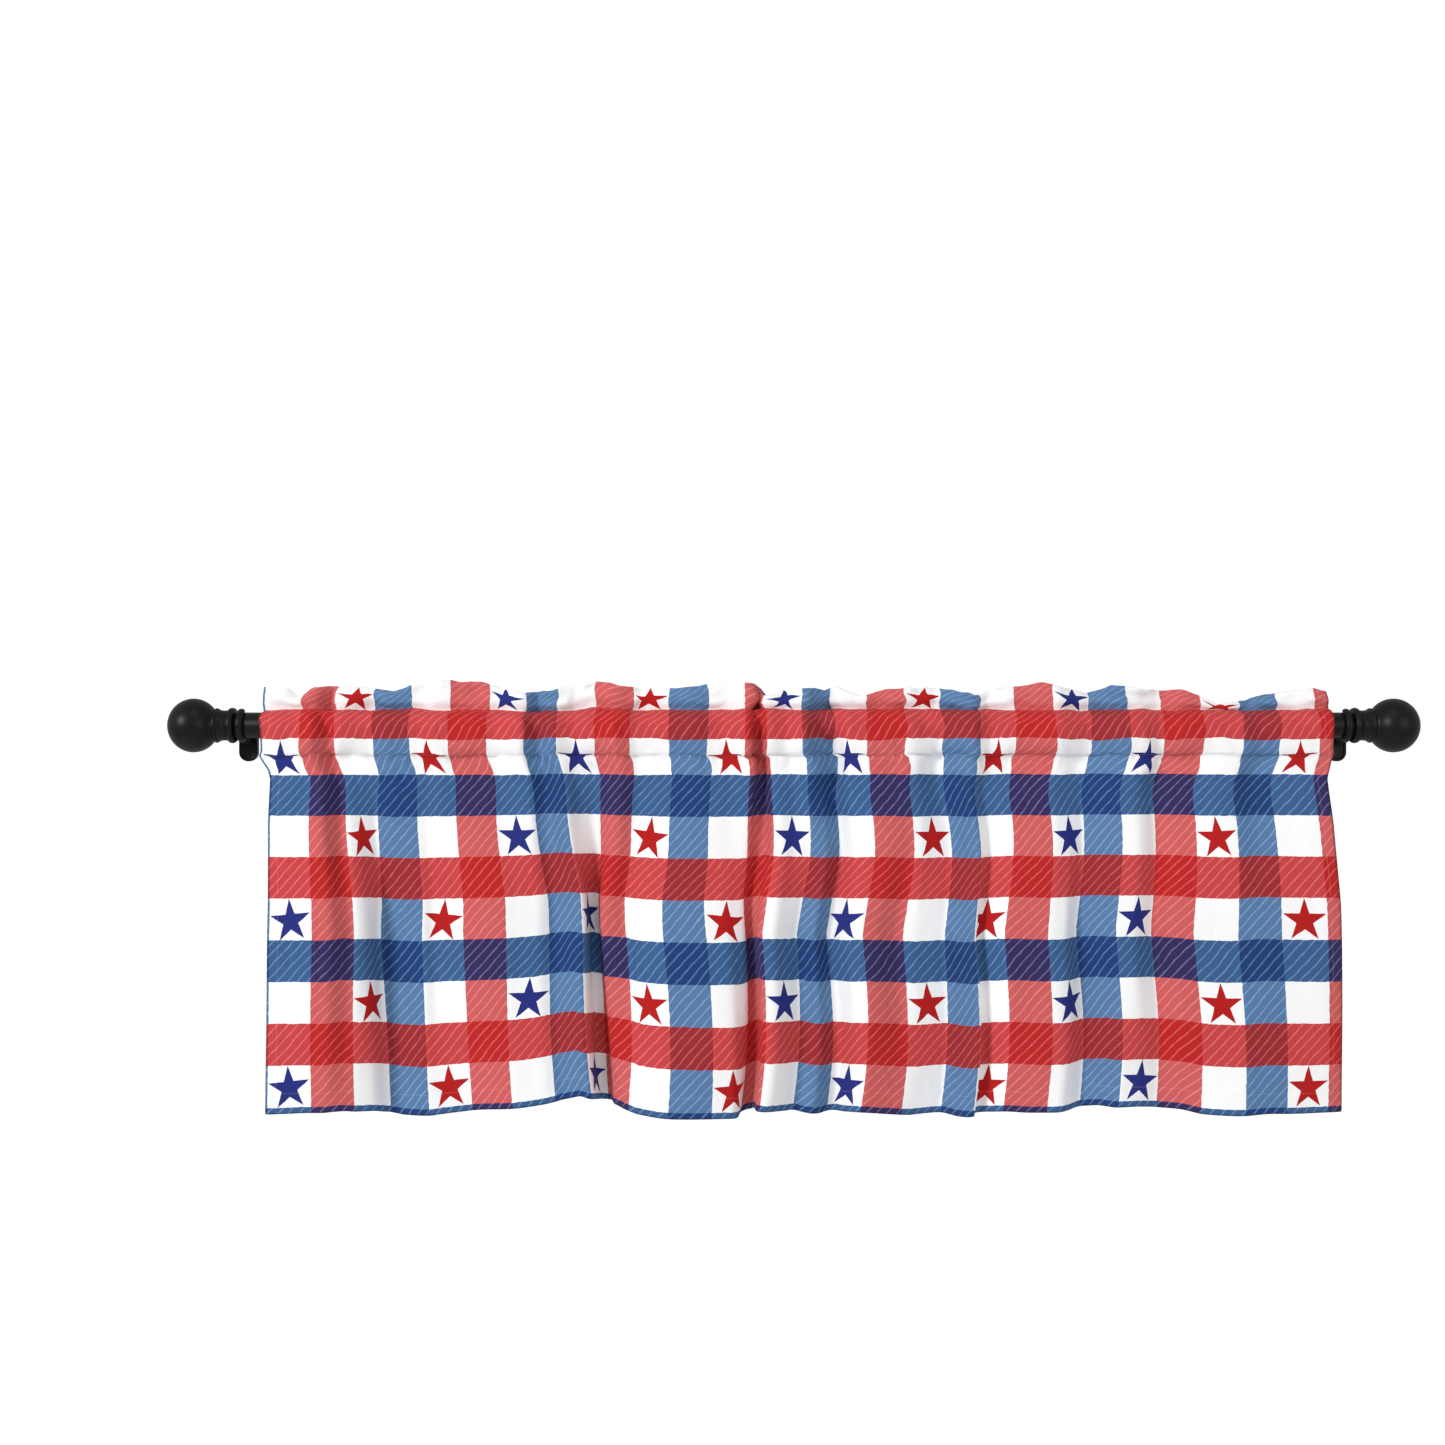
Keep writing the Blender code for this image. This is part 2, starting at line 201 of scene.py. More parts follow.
def dress(
    piece: bpy.types.Object, node: str, materials: Sequence[bpy.types.Material]
) -> bpy.types.Object:
    """Gives a finished piece its materials, its body and the CAD node it stands for.

    Args:
        piece: The finished piece.
        node: The CAD node that it replaces.
        materials: The piece's materials, in the order of its faces' indices.

    Returns:
        The same piece.
    """
    piece.data.materials.clear()
    for material in materials:
        piece.data.materials.append(material)
    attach(piece, "root")
    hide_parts(node)
    triangles = sum(len(face.vertices) - 2 for face in piece.data.polygons)
    log.info("%s stands for %s, %d triangles", piece.name, node, triangles)
    return piece


class Shade:
    """A shader value in an expression: Python's operators on it add Math nodes to its graph."""

    def __init__(self, graph: "MaterialGraph", socket: bpy.types.NodeSocket) -> None:
        """Wraps one output socket of a graph."""
        self.graph = graph
        self.socket = socket

    def __add__(self, other: "Shade | float") -> "Shade":
        """self + other."""
        return self.graph.math("ADD", self, other)

    def __radd__(self, other: float) -> "Shade":
        """other + self."""
        return self.graph.math("ADD", other, self)

    def __sub__(self, other: "Shade | float") -> "Shade":
        """self - other."""
        return self.graph.math("SUBTRACT", self, other)

    def __rsub__(self, other: float) -> "Shade":
        """other - self."""
        return self.graph.math("SUBTRACT", other, self)

    def __mul__(self, other: "Shade | float") -> "Shade":
        """self * other."""
        return self.graph.math("MULTIPLY", self, other)

    def __rmul__(self, other: float) -> "Shade":
        """other * self."""
        return self.graph.math("MULTIPLY", other, self)

    def __truediv__(self, other: "Shade | float") -> "Shade":
        """self / other."""
        return self.graph.math("DIVIDE", self, other)

    def __mod__(self, other: float) -> "Shade":
        """self modulo other, from 0 up."""
        return self.graph.math("FLOORED_MODULO", self, other)

    def __gt__(self, other: "Shade | float") -> "Shade":
        """1 where self is over other, and 0 elsewhere."""
        return self.graph.math("GREATER_THAN", self, other)

    def __lt__(self, other: "Shade | float") -> "Shade":
        """1 where self is under other, and 0 elsewhere."""
        return self.graph.math("LESS_THAN", self, other)

    def __abs__(self) -> "Shade":
        """The value without its sign."""
        return self.graph.math("ABSOLUTE", self)

    def floor(self) -> "Shade":
        """The whole number below."""
        return self.graph.math("FLOOR", self)

    def sine(self) -> "Shade":
        """Sine of the value in radians."""
        return self.graph.math("SINE", self)

    def cosine(self) -> "Shade":
        """Cosine of the value in radians."""
        return self.graph.math("COSINE", self)

    def root(self) -> "Shade":
        """Square root."""
        return self.graph.math("SQRT", self)

    def or_more(self, other: "Shade | float") -> "Shade":
        """The larger of the two."""
        return self.graph.math("MAXIMUM", self, other)

    def rising(self, low: float, high: float) -> "Shade":
        """A soft step from 0 at low to 1 at high."""
        node = self.graph.add(
            "ShaderNodeMapRange",
            {"interpolation_type": "SMOOTHSTEP"},
            {"Value": self, "From Min": low, "From Max": high},
        )
        return Shade(self.graph, node.outputs["Result"])


class MaterialGraph:
    """A new material's node tree, with one method that adds any node."""

    def __init__(self, name: str) -> None:
        """Starts a material with an empty tree."""
        self.material = bpy.data.materials.new(name)
        self.material.use_nodes = True
        self.tree = self.material.node_tree
        self.tree.nodes.clear()

    def add(
        self, kind: str, settings: dict[str, Any] | None = None, sockets: dict[Any, Any] | None = None
    ) -> bpy.types.Node:
        """Adds one node.

        Args:
            kind: The node's type.
            settings: The node's own settings, which are set first.
            sockets: Values or links for its input sockets, by name or number.

        Returns:
            The new node.
        """
        node = self.tree.nodes.new(kind)
        for name, value in (settings or {}).items():
            setattr(node, name, value)
        for key, value in (sockets or {}).items():
            source = value.socket if isinstance(value, Shade) else value
            if isinstance(source, bpy.types.NodeSocket):
                self.tree.links.new(source, node.inputs[key])
            else:
                node.inputs[key].default_value = source
        return node

    def math(self, operation: str, *values: Shade | float) -> Shade:
        """Adds a Math node."""
        node = self.add("ShaderNodeMath", {"operation": operation}, dict(enumerate(values)))
        return Shade(self, node.outputs[0])

    def split(self, vector: bpy.types.NodeSocket) -> tuple[Shade, Shade, Shade]:
        """The three parts of a vector."""
        node = self.add("ShaderNodeSeparateXYZ", None, {0: vector})
        return tuple(Shade(self, output) for output in node.outputs)

    def vector(self, x: Shade | float, y: Shade | float, z: Shade | float = 0.0) -> bpy.types.NodeSocket:
        """A vector from three parts."""
        return self.add("ShaderNodeCombineXYZ", None, {0: x, 1: y, 2: z}).outputs[0]

    def noise(self, place: bpy.types.NodeSocket, scale: float, detail: float = 2.0) -> Shade:
        """Soft noise round 0, from about -1 to 1."""
        node = self.add("ShaderNodeTexNoise", None, {"Vector": place, "Scale": scale, "Detail": detail})
        return (Shade(self, node.outputs[0]) - 0.5) * 3.0

    def chance(self, place: bpy.types.NodeSocket) -> Shade:
        """A number from 0 to 1 that is the same all over one cell."""
        node = self.add("ShaderNodeTexWhiteNoise", {"noise_dimensions": "2D"}, {"Vector": place})
        return Shade(self, node.outputs["Value"])

    def mix(self, share: Shade, first: Any, second: Any, blend: str = "MIX") -> bpy.types.NodeSocket:
        """Blends two colours.

        Args:
            share: How much of the second colour.
            first: A colour or a link.
            second: A colour or a link.
            blend: The way of blending.

        Returns:
            The blended colour's socket.
        """
        settings = {"data_type": "RGBA", "blend_type": blend}
        ends = [self.opaque(colour) for colour in (first, second)]
        return self.add("ShaderNodeMix", settings, {0: share, 6: ends[0], 7: ends[1]}).outputs[2]

    def tint(self, colour: bpy.types.NodeSocket, factor: Any, lift: Any) -> bpy.types.NodeSocket:
        """A colour times a factor, plus a lift, part by part."""
        sockets = {0: colour, 1: factor, 2: lift}
        return self.add("ShaderNodeVectorMath", {"operation": "MULTIPLY_ADD"}, sockets).outputs[0]

    def bump(self, height: Shade, distance: float, strength: float, under: Any = None) -> bpy.types.NodeSocket:
        """A Bump node's normal, on top of another one if it is given."""
        sockets = {"Height": height, "Distance": distance, "Strength": strength}
        if under is not None:
            sockets["Normal"] = under
        return self.add("ShaderNodeBump", None, sockets).outputs[0]

    def finish(self, sockets: dict[str, Any]) -> bpy.types.Material:
        """Adds the Principled shader and the output, and hands over the material."""
        shader = self.add("ShaderNodeBsdfPrincipled", None, sockets)
        self.add("ShaderNodeOutputMaterial", None, {"Surface": shader.outputs[0]})
        return self.material

    @staticmethod
    def opaque(colour: Any) -> Any:
        """A plain colour gets its alpha, and a link stays as it is."""
        return colour if isinstance(colour, bpy.types.NodeSocket) else (*colour, 1.0)


@dataclass(frozen=True)
class PrintPlan:
    """How the printed checks lie on the cloth, and how its UV map holds them.

    Places run in checks: across from the cloth's left edge, and up from its bottom edge. The UV map is the same
    plan scaled to the unit square, so that one map serves the print and a bake.

    Attributes:
        check_width: Width of one check, metres.
        check_height: Height of one check, metres.
        first_across: Place across at U = 0.
        checks_across: Checks from U = 0 to U = 1.
        first_up: Place up at V = 0.
        checks_up: Checks from V = 0 to V = 1.
    """

    check_width: float = 0.0467
    check_height: float = 0.0434
    first_across: float = -0.5
    checks_across: float = 30.4
    first_up: float = -0.9
    checks_up: float = 14.0

    def to_uv(self, across: np.ndarray, up: np.ndarray) -> np.ndarray:
        """UV pairs of places on the print."""
        u = (across - self.first_across) / self.checks_across
        v = (up - self.first_up) / self.checks_up
        return np.stack([u, v], axis=-1)

    def from_uv(self, graph: MaterialGraph) -> tuple[Shade, Shade]:
        """The shader's places across and up, in checks."""
        coordinates = graph.add("ShaderNodeTexCoord").outputs["UV"]
        u, v, _ = graph.split(coordinates)
        return u * self.checks_across + self.first_across, v * self.checks_up + self.first_up


@dataclass(frozen=True)
class PrintedCotton:
    """Plain woven cotton, printed with overlapping red and blue stripes, fine slanting strokes and stars.

    Colours are linear. A stripe lies along every fourth check both ways: red at 1, blue at 3, and white between.
    """

    plan: PrintPlan
    white: tuple = (0.84, 0.84, 0.845)
    red_column: tuple = (0.52, 0.098, 0.098)
    blue_column: tuple = (0.084, 0.172, 0.325)
    red_row: tuple = (0.49, 0.050, 0.053)
    blue_row: tuple = (0.037, 0.099, 0.235)
    red_on_red: tuple = (0.43, 0.016, 0.016)
    blue_on_blue: tuple = (0.011, 0.043, 0.155)
    red_row_blue_column: tuple = (0.28, 0.022, 0.028)
    blue_row_red_column: tuple = (0.032, 0.021, 0.092)
    blue_star: tuple = (0.018, 0.026, 0.180)
    red_star: tuple = (0.400, 0.010, 0.010)
    stroke_pitch: float = 8.15
    stroke_angle: float = 45.5
    stroke_share: float = 0.170
    red_lift: tuple = (0.17, 0.092, 0.090)
    blue_lift: tuple = (0.100, 0.135, 0.190)
    star_radius: float = 23.6
    star_waist: float = 0.38
    star_drop: float = 1.8
    star_turn: float = 6.0
    thread_pitch: float = 0.55
    stitch_length: float = 3.4
    stitch_rows: tuple = (0.33, 8.48, 9.96)
    stitch_columns: tuple = (0.19, 29.11)

    def build(self, name: str, wrong_side: bool) -> bpy.types.Material:
        """Makes the cloth's material.

        Args:
            name: The material's name.
            wrong_side: Whether it is the paler back, where the ink only shows through.

        Returns:
            The material.
        """
        graph = MaterialGraph(name)
        across, up = self.plan.from_uv(graph)
        x = across * (self.plan.check_width / MM)
        y = up * (self.plan.check_height / MM)
        place = graph.vector(x, y)
        colour = self.stripes(graph, across, up, place)
        colour = self.stars(graph, across, up, place, colour)
        cloudy = graph.noise(place, 0.011, 1.0)
        grain = graph.noise(place, 0.9, 1.0)
        brightness = cloudy * 0.02 + grain * 0.06 + 1.0
        colour = graph.tint(colour, graph.vector(brightness, brightness, brightness), (0.0, 0.0, 0.0))
        if wrong_side:
            colour = graph.tint(colour, (0.42, 0.42, 0.42), (0.40, 0.40, 0.405))
        stitch = self.stitches(graph, x, y, across, up)
        colour = graph.mix(stitch * 0.12, colour, self.white)
        warp = (x * (math.tau / self.thread_pitch)).sine()
        weft = (y * (math.tau / self.thread_pitch)).sine()
        slub = graph.noise(graph.vector(x * 0.2, y), 0.6, 2.0)
        weave = graph.bump(warp * weft + slub * 0.5, 0.00006, 0.5)
        crease = graph.noise(place, 0.045, 3.0)
        normal = graph.bump(crease - stitch * 0.25, 0.0010, 0.35, weave)
        return graph.finish({
            "Base Color": colour,
            "Roughness": grain * 0.03 + 0.86,
            "Normal": normal,
            "Specular IOR Level": 0.12,
            "Sheen Weight": 0.03,
            "Sheen Roughness": 0.5,
        })

    def stripes(
        self, graph: MaterialGraph, across: Shade, up: Shade, place: bpy.types.NodeSocket
    ) -> bpy.types.NodeSocket:
        """The crossing stripes with their slightly rough edges, and the pale strokes over them."""
        wander = graph.noise(place, 0.16, 1.0)
        waver = graph.noise(graph.vector(up * 41.0, across * 37.0), 0.19, 1.0)
        column = (across + wander * 0.011) % 4.0
        row = (up + waver * 0.012) % 4.0
        red_column, blue_column = (column > 1.0) * (column < 2.0), column > 3.0
        red_row, blue_row = (row > 1.0) * (row < 2.0), row > 3.0
        plain = graph.mix(blue_column, graph.mix(red_column, self.white, self.red_column), self.blue_column)
        red = graph.mix(red_column, self.red_row, self.red_on_red)
        red = graph.mix(blue_column, red, self.red_row_blue_column)
        blue = graph.mix(red_column, self.blue_row, self.blue_row_red_column)
        blue = graph.mix(blue_column, blue, self.blue_on_blue)
        colour = graph.mix(blue_row, graph.mix(red_row, plain, red), blue)
        inked = red_column.or_more(blue_column).or_more(red_row).or_more(blue_row)
        bluish = blue_row.or_more(blue_column * (1.0 - red_row))
        paler = graph.tint(colour, (1.15, 1.15, 1.15), graph.mix(bluish, self.red_lift, self.blue_lift))
        return graph.mix(self.strokes(graph, place) * inked, colour, paler)

    def strokes(self, graph: MaterialGraph, place: bpy.types.NodeSocket) -> Shade:
        """Thin hand-drawn strokes that rise to the right, uneven in pitch and weight."""
        x, y, _ = graph.split(place)
        lean = math.radians(self.stroke_angle)
        course = (x * math.sin(lean) - y * math.cos(lean)) / self.stroke_pitch
        course = course + graph.noise(place, 0.030, 1.0) * 0.20 + graph.noise(place, 0.13, 1.0) * 0.055
        distance = abs(course % 1.0 - 0.5)
        weight = graph.noise(place, 0.10, 1.0) * 0.030 + self.stroke_share / 2
        line = 1.0 - (distance / weight).rising(0.6, 1.25)
        fade = graph.noise(place, 0.20, 1.0) * 0.22 + 0.80
        return line * fade

    def stars(
        self,
        graph: MaterialGraph,
        across: Shade,
        up: Shade,
        place: bpy.types.NodeSocket,
        ground: bpy.types.NodeSocket,
    ) -> bpy.types.NodeSocket:
        """A five-pointed star in every other white check, one point up and each a little turned."""
        column, row = across.floor(), up.floor()
        cell = graph.vector(column, row)
        starred = (column % 2.0 < 0.5) * ((column + row) % 4.0 < 0.5)
        blue = (column + 2.0) % 8.0 < 3.0
        shake = graph.noise(place, 0.10, 2.0)
        right = (across - column - 0.5) * (self.plan.check_width / MM) + shake * 0.35
        rise = (up - row - 0.5) * (self.plan.check_height / MM) + self.star_drop - shake * 0.25
        turn = (graph.chance(cell) - 0.5) * math.radians(2.0 * self.star_turn)
        reach = (right * right + rise * rise).root()
        angle = graph.math("ARCTAN2", right, rise) + turn
        point = math.tau / 5
        nearest = abs((angle + point / 2) % point - point / 2)
        along, aside = reach * nearest.cosine(), reach * nearest.sine()
        waist = self.star_radius * self.star_waist
        waist_along, waist_aside = waist * math.cos(point / 2), waist * math.sin(point / 2)
        edge = (self.star_radius - along) * waist_aside - aside * (self.star_radius - waist_along)
        inside = (edge > 0.0) * starred
        return graph.mix(inside, ground, graph.mix(blue, self.red_star, self.blue_star))

    def stitches(self, graph: MaterialGraph, x: Shade, y: Shade, across: Shade, up: Shade) -> Shade:
        """Short stitches along the hem, the side hems and both rows of the rod pocket."""
        half = 0.28
        dash_across = (x / self.stitch_length % 1.0) > 0.22
        dash_up = (y / self.stitch_length % 1.0) > 0.22
        lines = None
        for level in self.stitch_rows:
            row = (abs(up - level) * (self.plan.check_height / MM) < half) * dash_across
            lines = row if lines is None else lines.or_more(row)
        for level in self.stitch_columns:
            lines = lines.or_more((abs(across - level) * (self.plan.check_width / MM) < half) * dash_up)
        return lines


@dataclass(frozen=True)
class SatinBlack:
    """Satin black paint on turned metal: a fine orange peel, a little uneven in gloss, and rubbed thin in spots."""

    paint: tuple = (0.0050, 0.0050, 0.0048)
    rubbed: tuple = (0.011, 0.0105, 0.0098)
    gloss_spread: float = 0.05
    roughness: float = 0.40

    def build(self, name: str) -> bpy.types.Material:
        """Makes the paint's material on Object coordinates."""
        graph = MaterialGraph(name)
        place = graph.add("ShaderNodeTexCoord").outputs["Object"]
        rubs = graph.noise(place, 70.0, 4.0).rising(0.35, 1.1)
        peel = graph.noise(place, 1300.0, 2.0)
        cloudy = graph.noise(place, 45.0, 3.0)
        return graph.finish({
            "Base Color": graph.mix(rubs, self.paint, self.rubbed),
            "Roughness": cloudy * self.gloss_spread + self.roughness,
            "Normal": graph.bump(peel, 0.00004, 0.35),
            "Specular IOR Level": 0.14,
            "Coat Weight": rubs * -0.015 + 0.03,
            "Coat Roughness": 0.3,
        })


@dataclass(frozen=True)
class PaleFloor:
    """A matt, nearly white floor."""

    light: tuple = (0.91, 0.91, 0.91)
    dull: tuple = (0.88, 0.88, 0.885)

    def build(self, name: str) -> bpy.types.Material:
        """Makes the floor's material."""
        graph = MaterialGraph(name)
        place = graph.add("ShaderNodeTexCoord").outputs["Object"]
        colour = graph.mix(graph.noise(place, 1.5).rising(-1.0, 1.0), self.light, self.dull)
        return graph.finish({
            "Base Color": colour,
            "Roughness": 0.9,
            "Specular IOR Level": 0.1,
        })


def ease(share: np.ndarray | float) -> np.ndarray:
    """A soft step from 0 to 1."""
    share = np.clip(share, 0.0, 1.0)
    return share * share * (3.0 - 2.0 * share)


class FoldLine:
    """A table of ridges and valleys along the cloth, with its corners rounded by a moving average."""

    def __init__(self, rows: Sequence[tuple[float, float]], rounding: float = 0.16) -> None:
        """Keeps a table.

        Args:
            rows: Place along the cloth in checks, and height in mm, one row for each ridge or valley.
            rounding: How far each corner is rounded, in checks.
        """
        self.places, self.heights = np.array(rows).T
        self.rounding = rounding

    def at(self, places: np.ndarray) -> np.ndarray:
        """Heights at places along the cloth, in metres."""
        offsets = np.linspace(-0.98, 0.98, 9)
        weights = 1.0 + np.cos(math.pi * offsets)
        total = sum(
            weight * np.interp(places + self.rounding * offset, self.places, self.heights)
            for weight, offset in zip(weights, offsets)
        )
        return total / weights.sum() * MM


class Ripple:
    """Seeded random waves over the cloth, from -1 to 1, smooth in both directions."""

    KNOTS = 256

    def __init__(self, seed: int, along: float, up: float) -> None:
        """Keeps a wave's seed and its pitches.

        Args:
            seed: Picks one of many patterns.
            along: Distance between knots along the cloth, metres.
            up: Distance between knots up the cloth, metres.
        """
        self.knots = np.random.default_rng(seed).uniform(-1.0, 1.0, (self.KNOTS, self.KNOTS))
        self.pitch = (along, up)

    def at(self, along: np.ndarray, up: np.ndarray | float) -> np.ndarray:
        """The wave at distances along and up the cloth, in metres."""
        x, y = np.broadcast_arrays(along / self.pitch[0], up / self.pitch[1])
        column, row = np.floor(x).astype(int), np.floor(y).astype(int)
        right, rise = ease(x - column), ease(y - row)
        low = self._knot(row, column) * (1.0 - right) + self._knot(row, column + 1) * right
        high = self._knot(row + 1, column) * (1.0 - right) + self._knot(row + 1, column + 1) * right
        return low * (1.0 - rise) + high * rise

    def _knot(self, row: np.ndarray, column: np.ndarray) -> np.ndarray:
        """Knot values, repeated past the table's edge."""
        return self.knots[row % self.KNOTS, column % self.KNOTS]


@dataclass(frozen=True)
class FoldTables:
    """The folds read from the photo: place along the cloth in checks, then a size in mm, a row for each fold.

    Attributes:
        side_edges: Distance below the lower stitch, then the cloth's left and right edge along the rod.
        gathers: Height of the gathers over the rod.
        middle: Distance of the cloth in front of the rod's axis, at half its drop.
        hem: The same at the hem.
        uneven: How much lower than even the hem hangs.
        drift: How far the cloth is drawn aside along the rod, a little below it.
        heading_top: Height of the heading's top fold above the rod's axis.
    """

    side_edges: tuple = (
        (0, 23, 1163), (25, 34, 1157), (72, 33, 1162), (157, 36, 1166), (244, 36, 1165), (374, 36, 1164),
    )
    gathers: tuple = (
        (-0.3, 3), (0.8, 6), (1.3, 12), (1.8, -4), (2.05, 5), (2.95, -4), (3.4, 5), (4.25, 0), (4.6, 5), (5.9, 3),
        (6.2, 0), (6.9, 12), (7.4, -3), (7.95, 12), (8.4, 3), (9.1, 4), (9.6, 14), (10.2, 2), (11.6, 8),
        (12.5, 4), (13.1, 15), (13.57, -8), (14.05, 12), (14.6, 6), (15.05, 17), (15.95, -11),
        (16.5, 8), (18.2, 6), (18.9, -4), (19.85, 16), (20.3, 5), (21.2, 8), (22.1, 14), (23.0, -2),
        (23.9, 14), (24.4, 12), (24.95, 0), (25.4, 7), (27.0, 6), (27.5, 0), (28.0, 5), (29.5, 4),
    )
    middle: tuple = (
        (-0.3, 38), (0.0, 39), (1.0, 42), (1.4, 44), (1.9, 26), (2.05, 28), (2.35, 21), (2.7, 6), (2.97, -6),
        (3.4, -1), (4.0, 9), (4.25, 3), (5.3, 15), (6.0, 16), (6.75, 11), (7.15, 1), (8.0, 26), (8.75, -14),
        (9.0, -6), (9.4, 15), (9.7, 13), (10.0, 7), (10.5, 22), (11.0, 28), (12.0, 31), (12.5, 28), (13.0, 15),
        (13.25, 3), (13.95, 35), (14.25, 36), (15.0, 13), (15.5, 27), (16.05, 9), (16.7, 34), (17.0, 36),
        (17.35, 33), (17.85, 21), (18.2, 23), (19.0, 13), (20.0, 49), (20.3, 30), (21.0, 50), (22.1, 50),
        (22.45, 45), (23.0, 23), (23.95, 51), (24.4, 50), (25.05, 31), (25.5, 47), (26.0, 49), (27.0, 50),
        (28.0, 46), (29.0, 41), (29.5, 34),
    )
    hem: tuple = (
        (-0.3, 43), (1.4, 44), (2.02, 34), (2.5, 24), (2.95, 5), (3.3, 4), (4.0, 18), (5.0, 9), (6.0, 22),
        (6.8, 20), (7.2, 15), (7.95, 36), (8.87, -8), (9.05, -8), (9.5, 14), (10.0, 31), (10.8, 46), (12.0, 46),
        (12.5, 42), (12.8, 29), (13.1, 15), (13.3, 13), (13.95, 51), (14.2, 51), (15.0, 24), (15.5, 36),
        (16.15, 13), (17.0, 42), (18.0, 30), (19.0, 16), (20.0, 54), (20.3, 33), (21.0, 51), (22.3, 51),
        (23.0, 29), (23.95, 61), (25.0, 44), (26.0, 53), (27.0, 54), (28.0, 50), (29.0, 45), (29.5, 38),
    )
    uneven: tuple = (
        (0.0, 3), (1.5, 1), (2.5, 2), (3.3, 11), (4.3, 8), (5.3, 3), (6.2, 0), (7.0, -5), (7.7, -14),
        (8.3, -9), (8.8, -3), (9.6, -3), (10.2, 4), (11.0, 7), (12.8, 8), (13.6, -2), (15.0, 1),
        (15.7, 5), (17.0, 0), (18.2, 6), (19.5, 6), (20.5, 1), (21.5, 2), (22.5, 1), (23.5, -7), (24.5, -7),
        (25.3, -3), (26.0, 3), (27.5, 4), (29.3, 1),
    )
    drift: tuple = (
        (-0.3, 0), (1.2, 1), (2.0, 4), (3.0, -5), (3.9, -1), (7.0, 3), (8.6, 1), (10.0, -3), (13.0, -2), (15.0, -4),
        (16.0, -11), (17.0, -8), (19.0, -5), (20.0, -10), (22.0, -10), (24.0, -12), (26.0, -10), (28.0, -7),
        (29.0, -1), (29.5, 0),
    )
    heading_top: tuple = (
        (-0.3, 41), (0.5, 41), (0.85, 29), (1.25, 42), (2.5, 41), (3.0, 41), (3.5, 36), (4.1, 45), (4.8, 48),
        (6.0, 46), (6.4, 40), (7.4, 36), (8.3, 42), (9.1, 46), (10.3, 40), (11.2, 41), (12.4, 46), (13.5, 44),
        (14.0, 32), (14.7, 41), (15.8, 39), (16.1, 43), (16.9, 32), (17.7, 40), (18.3, 41), (19.4, 39), (19.9, 32),
        (20.3, 38), (21.7, 46), (22.3, 41), (23.0, 35), (23.6, 43), (24.5, 38), (25.5, 38), (26.0, 33), (26.5, 23),
        (27.0, 24), (27.7, 33), (28.4, 39), (29.0, 41), (29.5, 37),
    )


